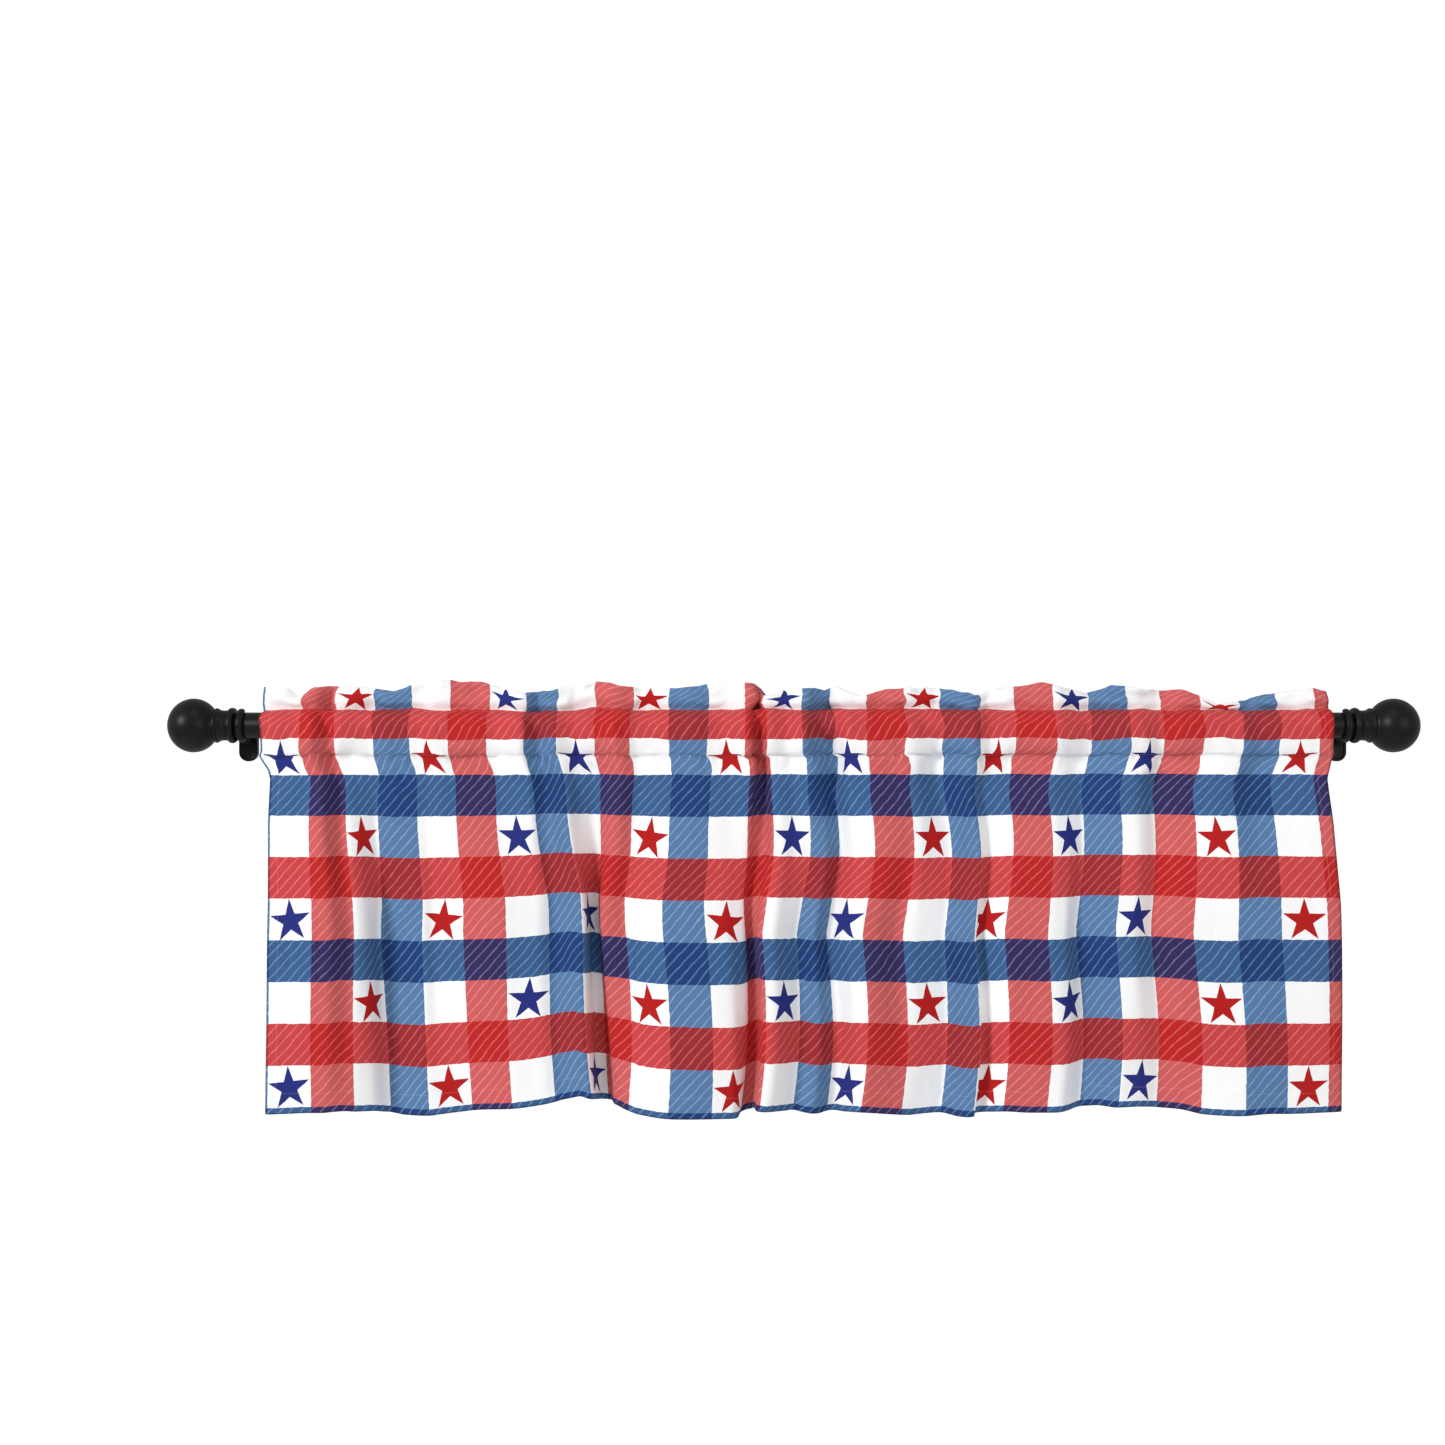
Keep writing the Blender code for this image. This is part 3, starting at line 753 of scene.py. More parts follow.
@dataclass
class Valance:
    """The printed cloth: hem, panel, rod pocket and heading, all one sheet that is turned and stitched.

    Its rows run from the hem's fold up the front, round the front of the rod, up the heading, over its top fold,
    down behind the rod and to a short tail below the lower stitch.
    """

    rod: RodLine
    plan: PrintPlan
    folds: FoldTables = FoldTables()
    first_check: float = -0.05
    last_check: float = 29.35
    hem_up: float = -0.145
    lower_stitch_up: float = 8.48
    top_stitch_up: float = 9.96
    top_fold_up: float = 11.0
    panel: float = 0.374
    low_stitch: float = -0.0315
    top_stitch: float = 0.0160
    gather_high: float = 0.016
    back_gather: float = 0.6
    centring: float = 1.0
    stitch_ease: float = 0.4
    sheet: float = 0.0005
    stitch_gap: float = 0.0011
    hem_gap: float = 0.0009
    clear_of_rod: float = 0.0021
    low_stitch_forward: float = 0.011
    stitch_wander: float = 0.0016
    off_wall: float = 0.0025
    heading_puff: float = 0.0046
    heading_lean: float = -0.003
    crumple_from: float = 7.7
    hem_depth: float = 0.020
    side_hem: float = 0.011
    tail: float = 0.0055
    tail_flare: float = 0.006
    columns: int = 380
    fine: int = 4
    panel_step: float = 0.008
    near_step: float = 0.0032
    near: float = 0.032
    steepest: float = 0.985

    def build(self, front: bpy.types.Material, back: bpy.types.Material) -> bpy.types.Object:
        """Args:
            front: The printed side.
            back: The wrong side.

        Returns:
            The finished cloth.
        """
        points, ups = self.rows()
        points, across, ups = self.turn_hems(points, ups)
        cloth = self.to_mesh(points, across, ups)
        Bench.take(cloth)
        solid = cloth.modifiers.new("thickness", "SOLIDIFY")
        solid.thickness = self.sheet
        solid.offset = 0.0
        solid.material_offset = 1
        solid.material_offset_rim = 0
        dress(cloth, "valance", (front, back))
        bpy.ops.object.modifier_apply(modifier=solid.name)
        log.info("cloth: %d triangles with its thickness", 2 * len(cloth.data.polygons))
        width = (self.last_check - self.first_check) * self.plan.check_width + 2.0 * self.side_hem
        length = (ups.max() - ups.min()) * self.plan.check_height
        return cloth

    def rows(self) -> tuple[np.ndarray, np.ndarray]:
        """The cloth's points row by row, and each row's place up the print."""
        count = (self.columns - 1) * self.fine + 1
        self.fine_places = np.linspace(self.first_check, self.last_check, count)
        self.places = self.fine_places[:: self.fine]
        self.along = self.places * self.plan.check_width
        self.wave = self.stitched_wave(self.places)
        self.across = self.spread(self.stitched_wave(self.fine_places), 0.0)[:: self.fine]
        self.built: list[np.ndarray] = []
        self.ups: list[float] = []
        self.add_panel()
        self.add_pocket(1.0)
        self.add_heading()
        self.add_pocket(-1.0)
        self.add_tail()
        ups = np.array(self.ups)
        return self.crumple(np.array(self.built), ups), ups

    def add(self, up: float, across: np.ndarray, forward: np.ndarray, height: np.ndarray | float) -> None:
        """Adds one row from distances in front of and above the rod's axis."""
        height = height + 0.0 * across
        forward = np.maximum(forward, self.rod.y + self.off_wall)
        self.built.append(np.stack([across, self.rod.y - forward, self.rod.z + height], axis=1))
        self.ups.append(up)

    def low_line(self, places: np.ndarray) -> np.ndarray:
        """Where the lower stitch lies in front of the rod's axis, pulled forward unevenly by the panel's weight."""
        pull = 1.0 + 0.5 * Ripple(41, 0.052, 1.0).at(places * self.plan.check_width, 0.0)
        return self.stitched_wave(places) + self.low_stitch_forward * pull

    def stitched_wave(self, places: np.ndarray) -> np.ndarray:
        """Where the two stitched layers lie in front of the rod's axis."""
        low = -self.back_gather * self.gather_high / 2
        return low + self.centring * FoldLine(self.folds.gathers).at(places)

    def spread(self, forward: np.ndarray, below: float) -> np.ndarray:
        """Distance along the rod of each fine place: the path's shadow, scaled to the hung width there."""
        below_mm, left, right = np.array(self.folds.side_edges, dtype=float).T
        start, stop = (np.interp(below / MM, below_mm, edge) * MM for edge in (left, right))
        steps = np.diff(self.fine_places) * self.plan.check_width
        slopes = np.clip(np.diff(forward) / steps, -self.steepest, self.steepest)
        shadow = np.concatenate([[0.0], np.cumsum(steps * np.sqrt(1.0 - slopes**2))])
        return start + shadow * (stop - start) / shadow[-1]

    def panel_forward(self, below: float) -> np.ndarray:
        """Distance of the hanging panel in front of the rod's axis, at a path length below the lower stitch."""
        middle = FoldLine(self.folds.middle).at(self.fine_places)
        half = self.panel / 2
        if below <= half:
            share = below / half
            share += self.stitch_ease * (float(ease(share)) - share)
            return self.low_line(self.fine_places) * (1.0 - share) + middle * share
        share = below / half - 1.0
        return middle * (1.0 - share) + FoldLine(self.folds.hem).at(self.fine_places) * share

    def half_gap(self) -> np.ndarray:
        """Half the space between the stitched layers, wider where the side hems lie between them."""
        edge = np.minimum(self.places - self.first_check, self.last_check - self.places) * self.plan.check_width
        at_edge = 1.0 - ease((edge - self.side_hem) / 0.012)
        return self.stitch_gap / 2 + (1.5 * self.hem_gap - self.stitch_gap / 2) * at_edge

    def add_layer(self, up: float, centre: np.ndarray, height: np.ndarray | float, offset: np.ndarray) -> None:
        """One row of a double layer, set off from its middle along the wave's own normal."""
        tilt = np.arctan2(np.gradient(centre), np.gradient(self.across))
        self.add(up, self.across - offset * np.sin(tilt), centre + offset * np.cos(tilt), height)

    def panel_levels(self) -> np.ndarray:
        """Distances below the lower stitch of the panel's rows, closer near the stitch and at the hem."""
        near = np.arange(self.near_step, self.near, self.near_step)
        count = round((self.panel - self.near - self.hem_depth * 1.3) / self.panel_step)
        middle = np.linspace(self.near, self.panel - self.hem_depth * 1.3, count)
        low = self.panel - self.hem_depth * np.array([1.15, 1.0, 0.8, 0.55, 0.3, 0.12, 0.0])
        return np.concatenate([near, middle, low])

    def add_panel(self) -> None:
        """The front panel, from the hem's fold up to the lower stitch."""
        levels = np.concatenate([[0.0], self.panel_levels()])
        forwards = np.array([self.panel_forward(below) for below in levels])
        forwards[0] += self.stitch_gap / 2
        steps = np.diff(levels)[:, None]
        slopes = np.clip(np.diff(forwards, axis=0) / steps, -self.steepest, self.steepest)
        drops = np.concatenate([[0.0 * self.fine_places], np.cumsum(steps * np.sqrt(1.0 - slopes**2), axis=0)])
        for index in range(len(levels) - 1, 0, -1):
            below = levels[index]
            across = self.spread(forwards[index], below)[:: self.fine] + self.drawn_aside(below)
            forward = forwards[index][:: self.fine] + self.panel_detail(below)
            share = 1.0 - below / self.panel
            up = self.hem_up + (self.lower_stitch_up - self.hem_up) * share
            drop = drops[index][:: self.fine] + FoldLine(self.folds.uneven).at(self.places) * below / self.panel
            self.add(up, across, forward, self.low_stitch - drop)
        self.add_layer(self.lower_stitch_up, self.low_line(self.places), self.low_stitch, self.half_gap())

    def drawn_aside(self, below: float) -> np.ndarray:
        """How far the cloth lies aside along the rod, most at a third of its drop."""
        share = float(ease(below / 0.05)) * (1.0 - float(ease((below - 0.15) / 0.17)))
        return FoldLine(self.folds.drift, 0.3).at(self.places) * share

    def panel_detail(self, below: float) -> np.ndarray:
        """Puckers under the stitch, slack creases over the panel and a slight ripple along the hem."""
        pucker = Ripple(3, 0.0085, 0.030).at(self.along, below) * math.exp(-below / 0.016) * 0.0024
        lump = Ripple(5, 0.030, 0.020).at(self.along, below) * math.exp(-((below - 0.014) / 0.012) ** 2) * 0.0034
        slack = Ripple(7, 0.052, 0.130).at(self.along, below) * 0.0026 * float(ease(below / 0.08))
        faint = Ripple(8, 0.021, 0.080).at(self.along, below) * 0.0008 * float(ease(below / 0.05))
        low = self.panel - below
        roping = Ripple(9, 0.016, 0.05).at(self.along - low * 0.6, low) * 0.0007
        roping = roping * math.exp(-(((low - self.hem_depth) / 0.010) ** 2))
        return pucker + lump + slack + faint + roping

    def add_pocket(self, side: float) -> None:
        """One side of the rod pocket: up the front from the lower stitch, or down the back to it.

        Args:
            side: 1 for the front and -1 for the back.
        """
        gathers = FoldLine(self.folds.gathers).at(self.places)
        bulge = gathers if side > 0 else self.back_gather * (self.gather_high - gathers)
        clear = self.rod.radius + self.clear_of_rod
        count = 21 if side > 0 else 11
        turns = np.linspace(-90.0, 90.0, count)[1:-1]
        for turn in turns if side > 0 else turns[::-1]:
            angle = math.radians(turn)
            depth = self.top_stitch if turn > 0 else -self.low_stitch
            swell = math.cos(angle)
            low = 1.0 - float(ease((turn + 90.0) / 180.0))
            centre = self.wave + (self.low_line(self.places) - self.wave) * low + side * self.half_gap()
            forward = centre + (side * (clear + bulge) - centre) * swell
            height = depth * math.sin(angle) + 0.0 * forward
            wrinkle = Ripple(11, 0.0095, 0.045).at(self.along, height) * 0.0016 * (1.15 - swell)
            wrinkle += Ripple(12, 0.024, 0.022).at(self.along, height) * 0.0017 * swell
            wrinkle += Ripple(13, 0.013, 0.060).at(self.along + 0.8 * height, height) * 0.0011
            forward = forward + side * wrinkle
            radius = np.hypot(forward, height)
            out = np.maximum(radius, clear) / np.maximum(radius, MM)
            share = (turn + 90.0) / 180.0
            up = self.lower_stitch_up + (self.top_stitch_up - self.lower_stitch_up) * share
            if side < 0:
                up = 2.0 * self.top_fold_up - up
            self.add(up, self.across, forward * out, height * out)

    def add_heading(self) -> None:
        """Both layers of the heading, puffed out a little and rolled over softly at the top fold."""
        top = FoldLine(self.folds.heading_top, 0.10).at(self.places)
        top = top + Ripple(14, 0.013, 1.0).at(self.along, 0.0) * 0.0010
        rise = top - self.top_stitch
        gap = self.half_gap()
        self.add_layer(self.top_stitch_up, self.wave, self.top_stitch, gap)
        shares = np.array([0.06, 0.13, 0.21, 0.30, 0.40, 0.50, 0.60, 0.69, 0.78, 0.86, 0.92, 0.965, 0.99])
        for side, order in ((1.0, shares), (-1.0, shares[::-1])):
            if side < 0:
                self.add_heading_row(self.top_fold_up, 1.0, rise, 0.0 * gap)
            for share in order:
                roll = math.sqrt(1.0 - share**3)
                print_share = 0.9 * share + 0.1 * (1.0 - roll)
                up = self.top_stitch_up + (self.top_fold_up - self.top_stitch_up) * print_share
                plump = np.maximum(0.15, 0.75 + 0.75 * Ripple(16, 0.026, 0.8).at(self.along, 0.1 + side))
                puff = self.heading_puff * plump * float(ease(share / 0.45)) * roll
                offset = gap * roll + puff
                self.add_heading_row(up if side > 0 else 2.0 * self.top_fold_up - up, share, rise, side * offset)
        self.add_layer(2.0 * self.top_fold_up - self.top_stitch_up, self.wave, self.top_stitch, -gap)

    def add_heading_row(self, up: float, share: float, rise: np.ndarray, offset: np.ndarray) -> None:
        """One row of the heading.

        Args:
            up: Its place up the print.
            share: Its share of the way from the stitch to the top fold.
            rise: Each column's height from the stitch to the top fold.
            offset: Distance in front of the middle between the layers.
        """
        crease = Ripple(23, 0.021, 0.0075).at(self.along + 0.5 * rise * share, rise * share)
        forward = self.wave + self.heading_lean * share + self.flutter(share)
        forward = forward + crease * 0.0023 * math.sin(math.pi * share) ** 0.7
        tilt = np.arctan2(np.gradient(self.wave), np.gradient(self.across))
        self.add(up, self.across - offset * np.sin(tilt), forward + offset, self.top_stitch + rise * share)

    def flutter(self, share: float) -> np.ndarray:
        """Crumples that both layers of the heading share, growing towards the top fold."""
        coarse = Ripple(21, 0.024, 0.5).at(self.along, share) * 0.0036
        small = Ripple(22, 0.011, 0.6).at(self.along, share) * 0.0014
        return (coarse + small) * share**0.8

    def add_tail(self) -> None:
        """The pocket's back layer ends just under the lower stitch."""
        up = 2.0 * self.top_fold_up - self.lower_stitch_up
        centre = self.low_line(self.places)
        self.add_layer(up, centre, self.low_stitch, -self.half_gap())
        for share in (0.5, 1.0):
            below = self.tail * share
            offset = -self.half_gap() - self.tail_flare * share
            self.add_layer(up + below / self.plan.check_height, centre, self.low_stitch - below, offset)

    def crumple(self, points: np.ndarray, ups: np.ndarray) -> np.ndarray:
        """Draws the cloth a little to and fro round the rod and in the heading, both layers alike."""
        layer = np.minimum(ups, 2.0 * self.top_fold_up - ups)[:, None] * self.plan.check_height
        share = ease((layer / self.plan.check_height - self.crumple_from) / 0.7)
        along = self.along[None, :]
        sideways = Ripple(31, 0.021, 0.016).at(along, layer) * 0.0016 + Ripple(32, 0.009, 0.011).at(along, layer) * 0.0006
        upwards = Ripple(33, 0.019, 0.018).at(along, layer) * 0.0012 + Ripple(34, 0.008, 0.012).at(along, layer) * 0.0005
        upwards = upwards + Ripple(35, 0.047, 0.035).at(along, layer) * self.stitch_wander
        return points + np.stack([sideways * share, 0.0 * sideways, upwards * share], axis=-1)

    def turn_hems(self, points: np.ndarray, ups: np.ndarray) -> tuple[np.ndarray, np.ndarray, np.ndarray]:
        """Adds the hems: rows and columns that turn back behind the cloth along its bottom and its sides.

        Args:
            points: The cloth's points, rows by columns.
            ups: Each row's place up the print.

        Returns:
            The wider grid of points, and each column's and each row's place on the print.
        """
        normals = np.cross(np.gradient(points, axis=1), np.gradient(points, axis=0))
        normals /= np.linalg.norm(normals, axis=2, keepdims=True)
        turned_rows = int(np.searchsorted((ups - ups[0]) * self.plan.check_height, self.hem_depth)) + 1
        step = (self.places[1] - self.places[0]) * self.plan.check_width
        turned_columns = round(self.side_hem / step) + 1
        row_order = self.mirrored(len(points), turned_rows, 0)
        column_order = self.mirrored(len(self.places), turned_columns, turned_columns)
        depth = np.zeros((len(row_order), len(column_order)))
        depth[:turned_rows, :] += self.hem_gap
        depth[:, :turned_columns] += self.hem_gap
        depth[:, -turned_columns:] += self.hem_gap
        for corner in (slice(turned_columns, 2 * turned_columns), slice(-2 * turned_columns, -turned_columns)):
            depth[: turned_rows - 1, corner] += 2.0 * self.hem_gap
        grid = np.ix_(row_order, column_order)
        points = points[grid] - normals[grid] * depth[:, :, None]
        ups = self.unfolded(ups, turned_rows, 0)
        across = self.unfolded(self.places, turned_columns, turned_columns)
        return points, across, ups

    @staticmethod
    def mirrored(count: int, before: int, after: int) -> np.ndarray:
        """Indices of a row of items, with some repeated in reverse before its start and after its end."""
        inner = np.arange(count)
        return np.concatenate([inner[1 : before + 1][::-1], inner, inner[count - 1 - after : count - 1][::-1]])

    @staticmethod
    def unfolded(places: np.ndarray, before: int, after: int) -> np.ndarray:
        """Places that go on past both ends as the turned cloth does."""
        start = 2.0 * places[0] - places[1 : before + 1][::-1]
        count = len(places)
        stop = 2.0 * places[-1] - places[count - 1 - after : count - 1][::-1]
        return np.concatenate([start, places, stop])

    def to_mesh(self, points: np.ndarray, across: np.ndarray, ups: np.ndarray) -> bpy.types.Object:
        """Makes the sheet's mesh and its UV map from its grid."""
        rows, columns = points.shape[:2]
        index = np.arange(rows * columns).reshape(rows, columns)
        corners = np.stack([index[:-1, :-1], index[:-1, 1:], index[1:, 1:], index[1:, :-1]], axis=-1)
        mesh = bpy.data.meshes.new("valance_cloth")
        mesh.from_pydata(points.reshape(-1, 3), [], corners.reshape(-1, 4).tolist())
        grid_across, grid_up = np.meshgrid(across, ups)
        uvs = self.plan.to_uv(grid_across.ravel(), grid_up.ravel())
        layer = mesh.uv_layers.new(name="print")
        layer.data.foreach_set("uv", uvs[corners.ravel()].ravel())
        mesh.shade_smooth()
        cloth = bpy.data.objects.new("valance_cloth", mesh)
        bpy.context.collection.objects.link(cloth)
        return cloth


@dataclass
class CurtainRod:
    """The straight rod, a tube with its ends eased."""

    rod: RodLine
    facets: int = 96
    edge: float = 0.0006

    def build(self, paint: bpy.types.Material) -> bpy.types.Object:
        """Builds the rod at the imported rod's place and size."""
        Bench.clear()
        middle = ((self.rod.left + self.rod.right) / 2, self.rod.y, self.rod.z)
        bpy.ops.mesh.primitive_cylinder_add(
            vertices=self.facets,
            radius=self.rod.radius,
            depth=self.rod.right - self.rod.left,
            location=middle,
            rotation=(0.0, math.pi / 2, 0.0),
        )
        piece = Bench.named("curtain_rod")
        Bench.soften(piece, self.edge, 3, 50.0)
        Bench.smooth(piece, 40.0)
        return dress(piece, "rod", [paint])


@dataclass
class BallFinial:
    """A turned end: a ball, a ring, a hollow neck and a bead, and a collar against the rod's end.

    Distances run from the ball's middle back towards the rod.
    """

    rod: RodLine
    side: Side
    ball_half_length: float = 0.0272
    ball_radius: float = 0.0289
    ball_to_end: float = 0.0463
    seat_gap: float = 0.0003
    facets: int = 112
    ball_steps: int = 44
    ball_stop: float = 0.0206
    valley: tuple = (0.0224, 0.0176)
    ring: tuple = (0.0252, 0.0186, 0.0019, 0.0014)
    neck: tuple = ((0.0276, 0.0172), (0.0288, 0.0168), (0.0315, 0.0162), (0.0340, 0.0161), (0.0362, 0.0163))
    groove_at: float = 0.0371
    bead: tuple = (0.0416, 0.0191, 0.0038, 0.0030)
    collar_radius: float = 0.0126
    groove: float = 0.0005

    def build(self, paint: bpy.types.Material) -> bpy.types.Object:
        """Spins the finial's profile round the rod's axis."""
        middle = self.rod.end(self.side) + self.side.value * self.ball_to_end
        profile = [
            Vector((middle - self.side.value * back, self.rod.y, self.rod.z + radius))
            for back, radius in self.profile()
        ]
        piece = self.drawn(profile, f"ball_finial_{self.side.word}")
        with Bench.editing(piece):
            bpy.ops.mesh.select_all(action="SELECT")
            bpy.ops.mesh.spin(
                steps=self.facets, angle=math.tau, center=(middle, self.rod.y, self.rod.z), axis=(1.0, 0.0, 0.0)
            )
        Bench.close_up(piece)
        Bench.smooth(piece, 38.0)
        return dress(piece, f"finial_{self.side.word}", [paint])

    @staticmethod
    def drawn(profile: Sequence[Vector], name: str) -> bpy.types.Object:
        """Draws a profile by extruding a single vertex from point to point."""
        Bench.clear()
        bpy.ops.mesh.primitive_plane_add(size=0.001, location=profile[0])
        piece = Bench.named(name)
        with Bench.editing(piece):
            bpy.ops.mesh.select_all(action="SELECT")
            bpy.ops.mesh.merge(type="CENTER")
            for start, stop in zip(profile, profile[1:]):
                bpy.ops.mesh.extrude_region_move(TRANSFORM_OT_translate={"value": tuple(stop - start)})
        return piece

    def profile(self) -> list[tuple[float, float]]:
        """Distance back and radius, from the ball's tip to the collar's middle."""
        points = []
        last = math.acos(self.ball_stop / self.ball_half_length)
        for step in range(self.ball_steps + 1):
            turn = math.pi + (last - math.pi) * step / self.ball_steps
            points.append((self.ball_half_length * math.cos(turn), self.ball_radius * math.sin(turn)))
        points[0] = (-self.ball_half_length, 0.0)
        points.append((self.valley[0] - 0.0008, self.valley[1] + 0.0002))
        points += [(self.valley[0], self.valley[1]), (self.valley[0] + 0.0006, self.valley[1] - self.groove)]
        points += self.band(self.ring)
        points += self.neck
        points.append((self.groove_at, self.neck[-1][1] - self.groove))
        points += self.band(self.bead)
        end = self.ball_to_end - self.seat_gap
        points += [(end, self.collar_radius), (end, 0.0)]
        return points

    @staticmethod
    def band(shape: tuple, steps: int = 9) -> list[tuple[float, float]]:
        """A raised band: middle, radius, half its length and how far its rim is rounded."""
        middle, radius, half, rim = shape
        turns = [math.pi * step / steps for step in range(steps + 1)]
        return [(middle - half * math.cos(turn), radius - rim + rim * math.sin(turn)) for turn in turns]


@dataclass
class WallBracket:
    """One bracket: the pill-shaped plate on the wall, and the open hook that the rod lies in."""

    rod: RodLine
    side: Side
    plate_steps: int = 64
    sunk_rim: float = 0.0024
    sunk_depth: float = 0.0007
    plate_edge: float = 0.0020
    hook_width: float = 0.0075
    hook_thickness: float = 0.0042
    hook_from: float = 80.0
    hook_to: float = 305.0
    seat_gap: float = 0.0003
    outer_round: float = 0.0030
    inner_round: float = 0.0007
    stem_drop: float = 0.0155
    stem_radius: float = 0.0040
    flange_radius: float = 0.0062
    flange_height: float = 0.0016

    def __post_init__(self) -> None:
        """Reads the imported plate's box."""
        low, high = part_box(f"wall_plate_{self.side.word}")
        self.x = (low[0] + high[0]) / 2
        self.plate_z = (low[2] + high[2]) / 2
        self.half_width = (high[0] - low[0]) / 2
        self.half_height = (high[2] - low[2]) / 2
        self.thickness = high[1] - low[1]

    def build(self, paint: bpy.types.Material) -> list[bpy.types.Object]:
        """Builds the plate and the hook."""
        plate = dress(self.plate(), f"wall_plate_{self.side.word}", [paint])
        hook = dress(self.hook(), f"rod_hook_{self.side.word}", [paint])
        return [plate, hook]

    def plate(self) -> bpy.types.Object:
        """A round disc drawn out into a pill, with its face sunk a little inside a rim."""
        Bench.clear()
        half_step = math.pi / self.plate_steps
        bpy.ops.mesh.primitive_cylinder_add(
            vertices=self.plate_steps,
            radius=self.half_width,
            depth=self.thickness,
            location=(self.x, -self.thickness / 2, self.plate_z),
            rotation=(math.pi / 2, half_step, 0.0),
        )
        piece = Bench.named(f"bracket_plate_{self.side.word}")
        stretch = self.half_height - self.half_width
        front = -self.thickness + 1e-5
        with Bench.editing(piece):
            for sign in (1.0, -1.0):
                Bench.pick(piece, "VERT", lambda place: sign * (place.z - self.plate_z) > 1e-5)
                bpy.ops.transform.translate(value=(0.0, 0.0, sign * stretch))
            Bench.pick(piece, "FACE", lambda place: place.y < front)
            bpy.ops.mesh.inset(thickness=self.sunk_rim, depth=0.0)
            bpy.ops.mesh.inset(thickness=self.sunk_depth, depth=-self.sunk_depth)
        Bench.soften(piece, self.sunk_depth * 0.9, 4, 30.0)
        Bench.smooth(piece, 40.0)
        return piece

    def hook(self) -> bpy.types.Object:
        """A bar swept round the back of the rod, and the stem that carries it off the plate."""
        start = math.radians(self.hook_from)
        inner = self.rod.radius + self.seat_gap
        middle = inner + self.hook_thickness / 2
        place = (self.x, self.rod.y - middle * math.cos(start), self.rod.z + middle * math.sin(start))
        Bench.clear()
        bpy.ops.mesh.primitive_plane_add(size=1.0, location=place, rotation=(math.pi - start, 0.0, 0.0))
        piece = bpy.context.object
        piece.scale = (self.hook_width, self.hook_thickness, 1.0)
        piece = Bench.named(f"bracket_hook_{self.side.word}")
        axis = Vector((self.x, self.rod.y, self.rod.z))
        sweep = math.radians(self.hook_to - self.hook_from)
        with Bench.editing(piece):
            Bench.pick(piece, "VERT", lambda corner: self.off_axis(corner) > middle)
            bpy.ops.mesh.bevel(offset=self.outer_round, segments=6, affect="VERTICES")
            Bench.pick(piece, "VERT", lambda corner: self.off_axis(corner) < inner + 1e-5)
            bpy.ops.mesh.bevel(offset=self.inner_round, segments=2, affect="VERTICES")
            bpy.ops.mesh.select_all(action="SELECT")
            bpy.ops.mesh.spin(steps=48, angle=-sweep, center=axis, axis=(1.0, 0.0, 0.0))
        Bench.close_up(piece)
        Bench.soften(piece, 0.0009, 3, 60.0)
        stem_z = self.rod.z - self.stem_drop
        reach = math.sqrt((inner + self.hook_thickness) ** 2 - self.stem_drop**2)
        back, front = -self.thickness - self.seat_gap, self.rod.y + reach - 0.002
        stem = self.bar(self.stem_radius, back, front, stem_z, "stem")
        flange = self.bar(self.flange_radius, back, back - self.flange_height, stem_z, "flange")
        piece = Bench.join([piece, stem, flange])
        Bench.smooth(piece, 40.0)
        return piece

    def off_axis(self, place: Vector) -> float:
        """Distance of a point from the rod's axis."""
        return math.hypot(place.y - self.rod.y, place.z - self.rod.z)

    def bar(self, radius: float, back: float, front: float, z: float, name: str) -> bpy.types.Object:
        """A short round bar straight out from the wall, with its edges eased."""
        Bench.clear()
        bpy.ops.mesh.primitive_cylinder_add(
            vertices=40,
            radius=radius,
            depth=abs(front - back),
            location=(self.x, (front + back) / 2, z),
            rotation=(math.pi / 2, 0.0, 0.0),
        )
        piece = Bench.named(name)
        Bench.soften(piece, 0.0005, 3, 50.0)
        return piece


@dataclass
class PhotoView:
    """The camera where the photo was taken from, level with the rod and square on to it."""

    rod: RodLine
    x: float = 0.5144
    distance: float = 1.870
    above_rod: float = 0.0032
    lens: float = 43.47
    sensor: float = 36.0

    def build(self) -> bpy.types.Object:
        """Adds the camera and makes it the scene's."""
        Bench.clear()
        place = (self.x, self.rod.y - self.distance, self.rod.z + self.above_rod)
        bpy.ops.object.camera_add(location=place, rotation=(math.pi / 2, 0.0, 0.0))
        camera = bpy.context.object
        camera.name = "photo_camera"
        camera.data.lens = self.lens
        camera.data.sensor_width = self.sensor
        bpy.context.scene.camera = camera
        return camera


@dataclass(frozen=True)
class SoftLight:
    """One large area light: its place, what it points at, its size, power and colour."""

    name: str
    place: tuple
    target: tuple
    size: float
    power: float
    colour: tuple = (1.0, 1.0, 1.0)

    def build(self) -> None:
        """Adds the light, turned towards its target."""
        Bench.clear()
        turn = (Vector(self.target) - Vector(self.place)).to_track_quat("-Z", "Y").to_euler()
        bpy.ops.object.light_add(type="AREA", location=self.place, rotation=turn)
        light = bpy.context.object
        light.name = self.name
        light.data.size = self.size
        light.data.energy = self.power
        light.data.color = self.colour


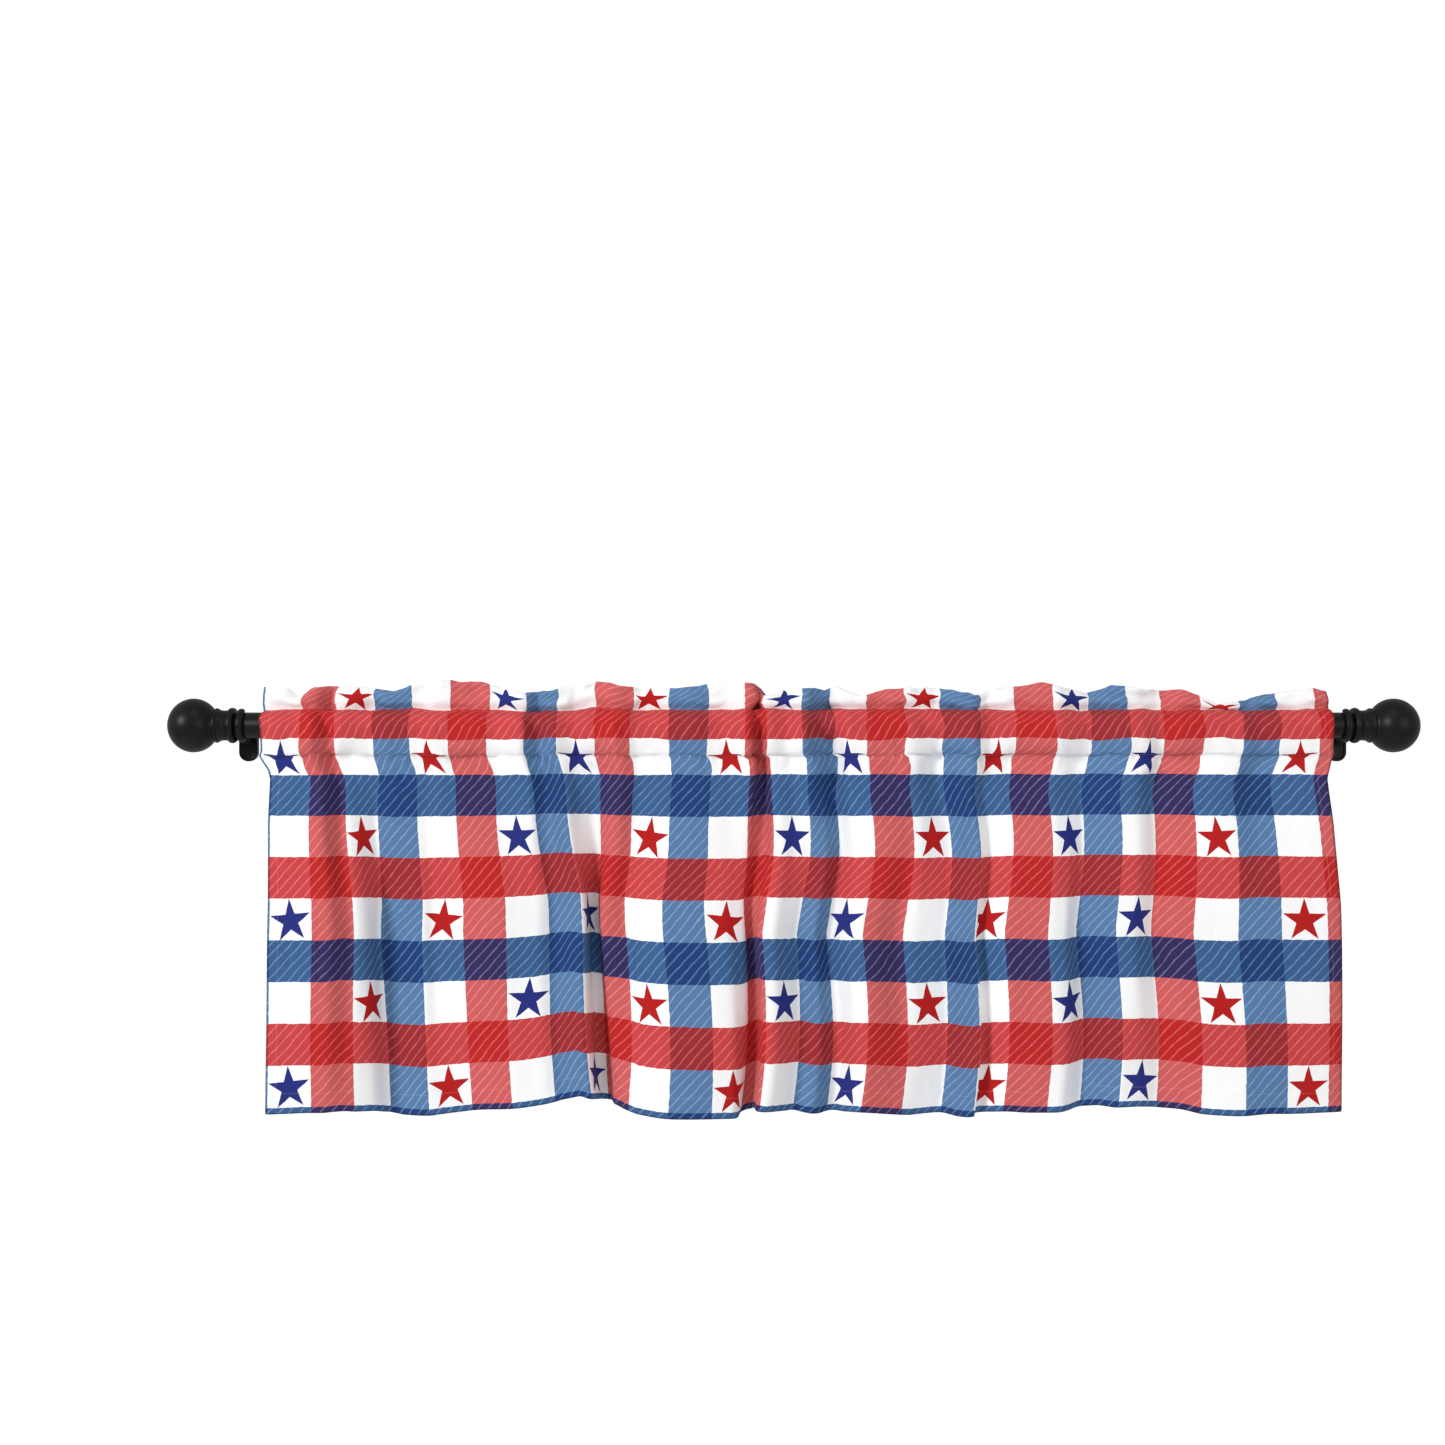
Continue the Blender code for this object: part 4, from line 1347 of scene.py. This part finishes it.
@dataclass(frozen=True)
class Studio:
    """A pale floor well below the valance, an even white surround and three soft lights."""

    floor_z: float = -1.9
    floor_radius: float = 2.6
    white: float = 1.05
    surround: float = 0.53
    lights: tuple = (
        SoftLight("key_light", (-3.4, -3.6, 1.8), (0.59, 0.0, -0.15), 1.3, 212.0),
        SoftLight("fill_light", (2.4, -2.6, 0.5), (0.59, 0.0, -0.15), 1.6, 20.0),
        SoftLight("top_light", (0.6, -1.4, 2.0), (0.59, -0.05, 0.0), 1.0, 7.0),
    )

    def build(self, matt: bpy.types.Material) -> None:
        """Adds the floor, the surround and the lights."""
        Bench.clear()
        bpy.ops.mesh.primitive_circle_add(
            vertices=96, radius=self.floor_radius, fill_type="NGON", location=(0.59, 0.0, self.floor_z)
        )
        floor = Bench.named("pale_floor")
        floor.data.materials.append(matt)
        bpy.context.scene.world = self.surrounding()
        bpy.context.scene.view_settings.view_transform = "Standard"
        for light in self.lights:
            light.build()

    def surrounding(self) -> bpy.types.World:
        """A white surround that lights the cloth less than it shows, so that the folds keep their shade."""
        world = bpy.data.worlds.new("white_surround")
        world.use_nodes = True
        tree = world.node_tree
        shade = tree.nodes["Background"]
        shade.inputs["Color"].default_value = (1.0, 1.0, 1.0, 1.0)
        seen = tree.nodes.new("ShaderNodeLightPath").outputs["Is Camera Ray"]
        strength = tree.nodes.new("ShaderNodeMapRange")
        strength.inputs["To Min"].default_value = self.surround
        strength.inputs["To Max"].default_value = self.white
        tree.links.new(seen, strength.inputs["Value"])
        tree.links.new(strength.outputs["Result"], shade.inputs["Strength"])
        return world


def main() -> None:
    """Builds the view, the studio and every piece, in order."""
    logging.basicConfig(level=logging.INFO, format="%(message)s")
    rod = RodLine.from_frame()
    PhotoView(rod).build()
    Studio().build(PaleFloor().build("pale_floor"))
    plan = PrintPlan()
    cotton = PrintedCotton(plan)
    paint = SatinBlack().build("satin_black_paint")
    CurtainRod(rod).build(paint)
    for side in Side:
        BallFinial(rod, side).build(paint)
        WallBracket(rod, side).build(paint)
    Valance(rod, plan).build(cotton.build("cotton_printed_side", False), cotton.build("cotton_wrong_side", True))


if __name__ == "__main__":
    main()
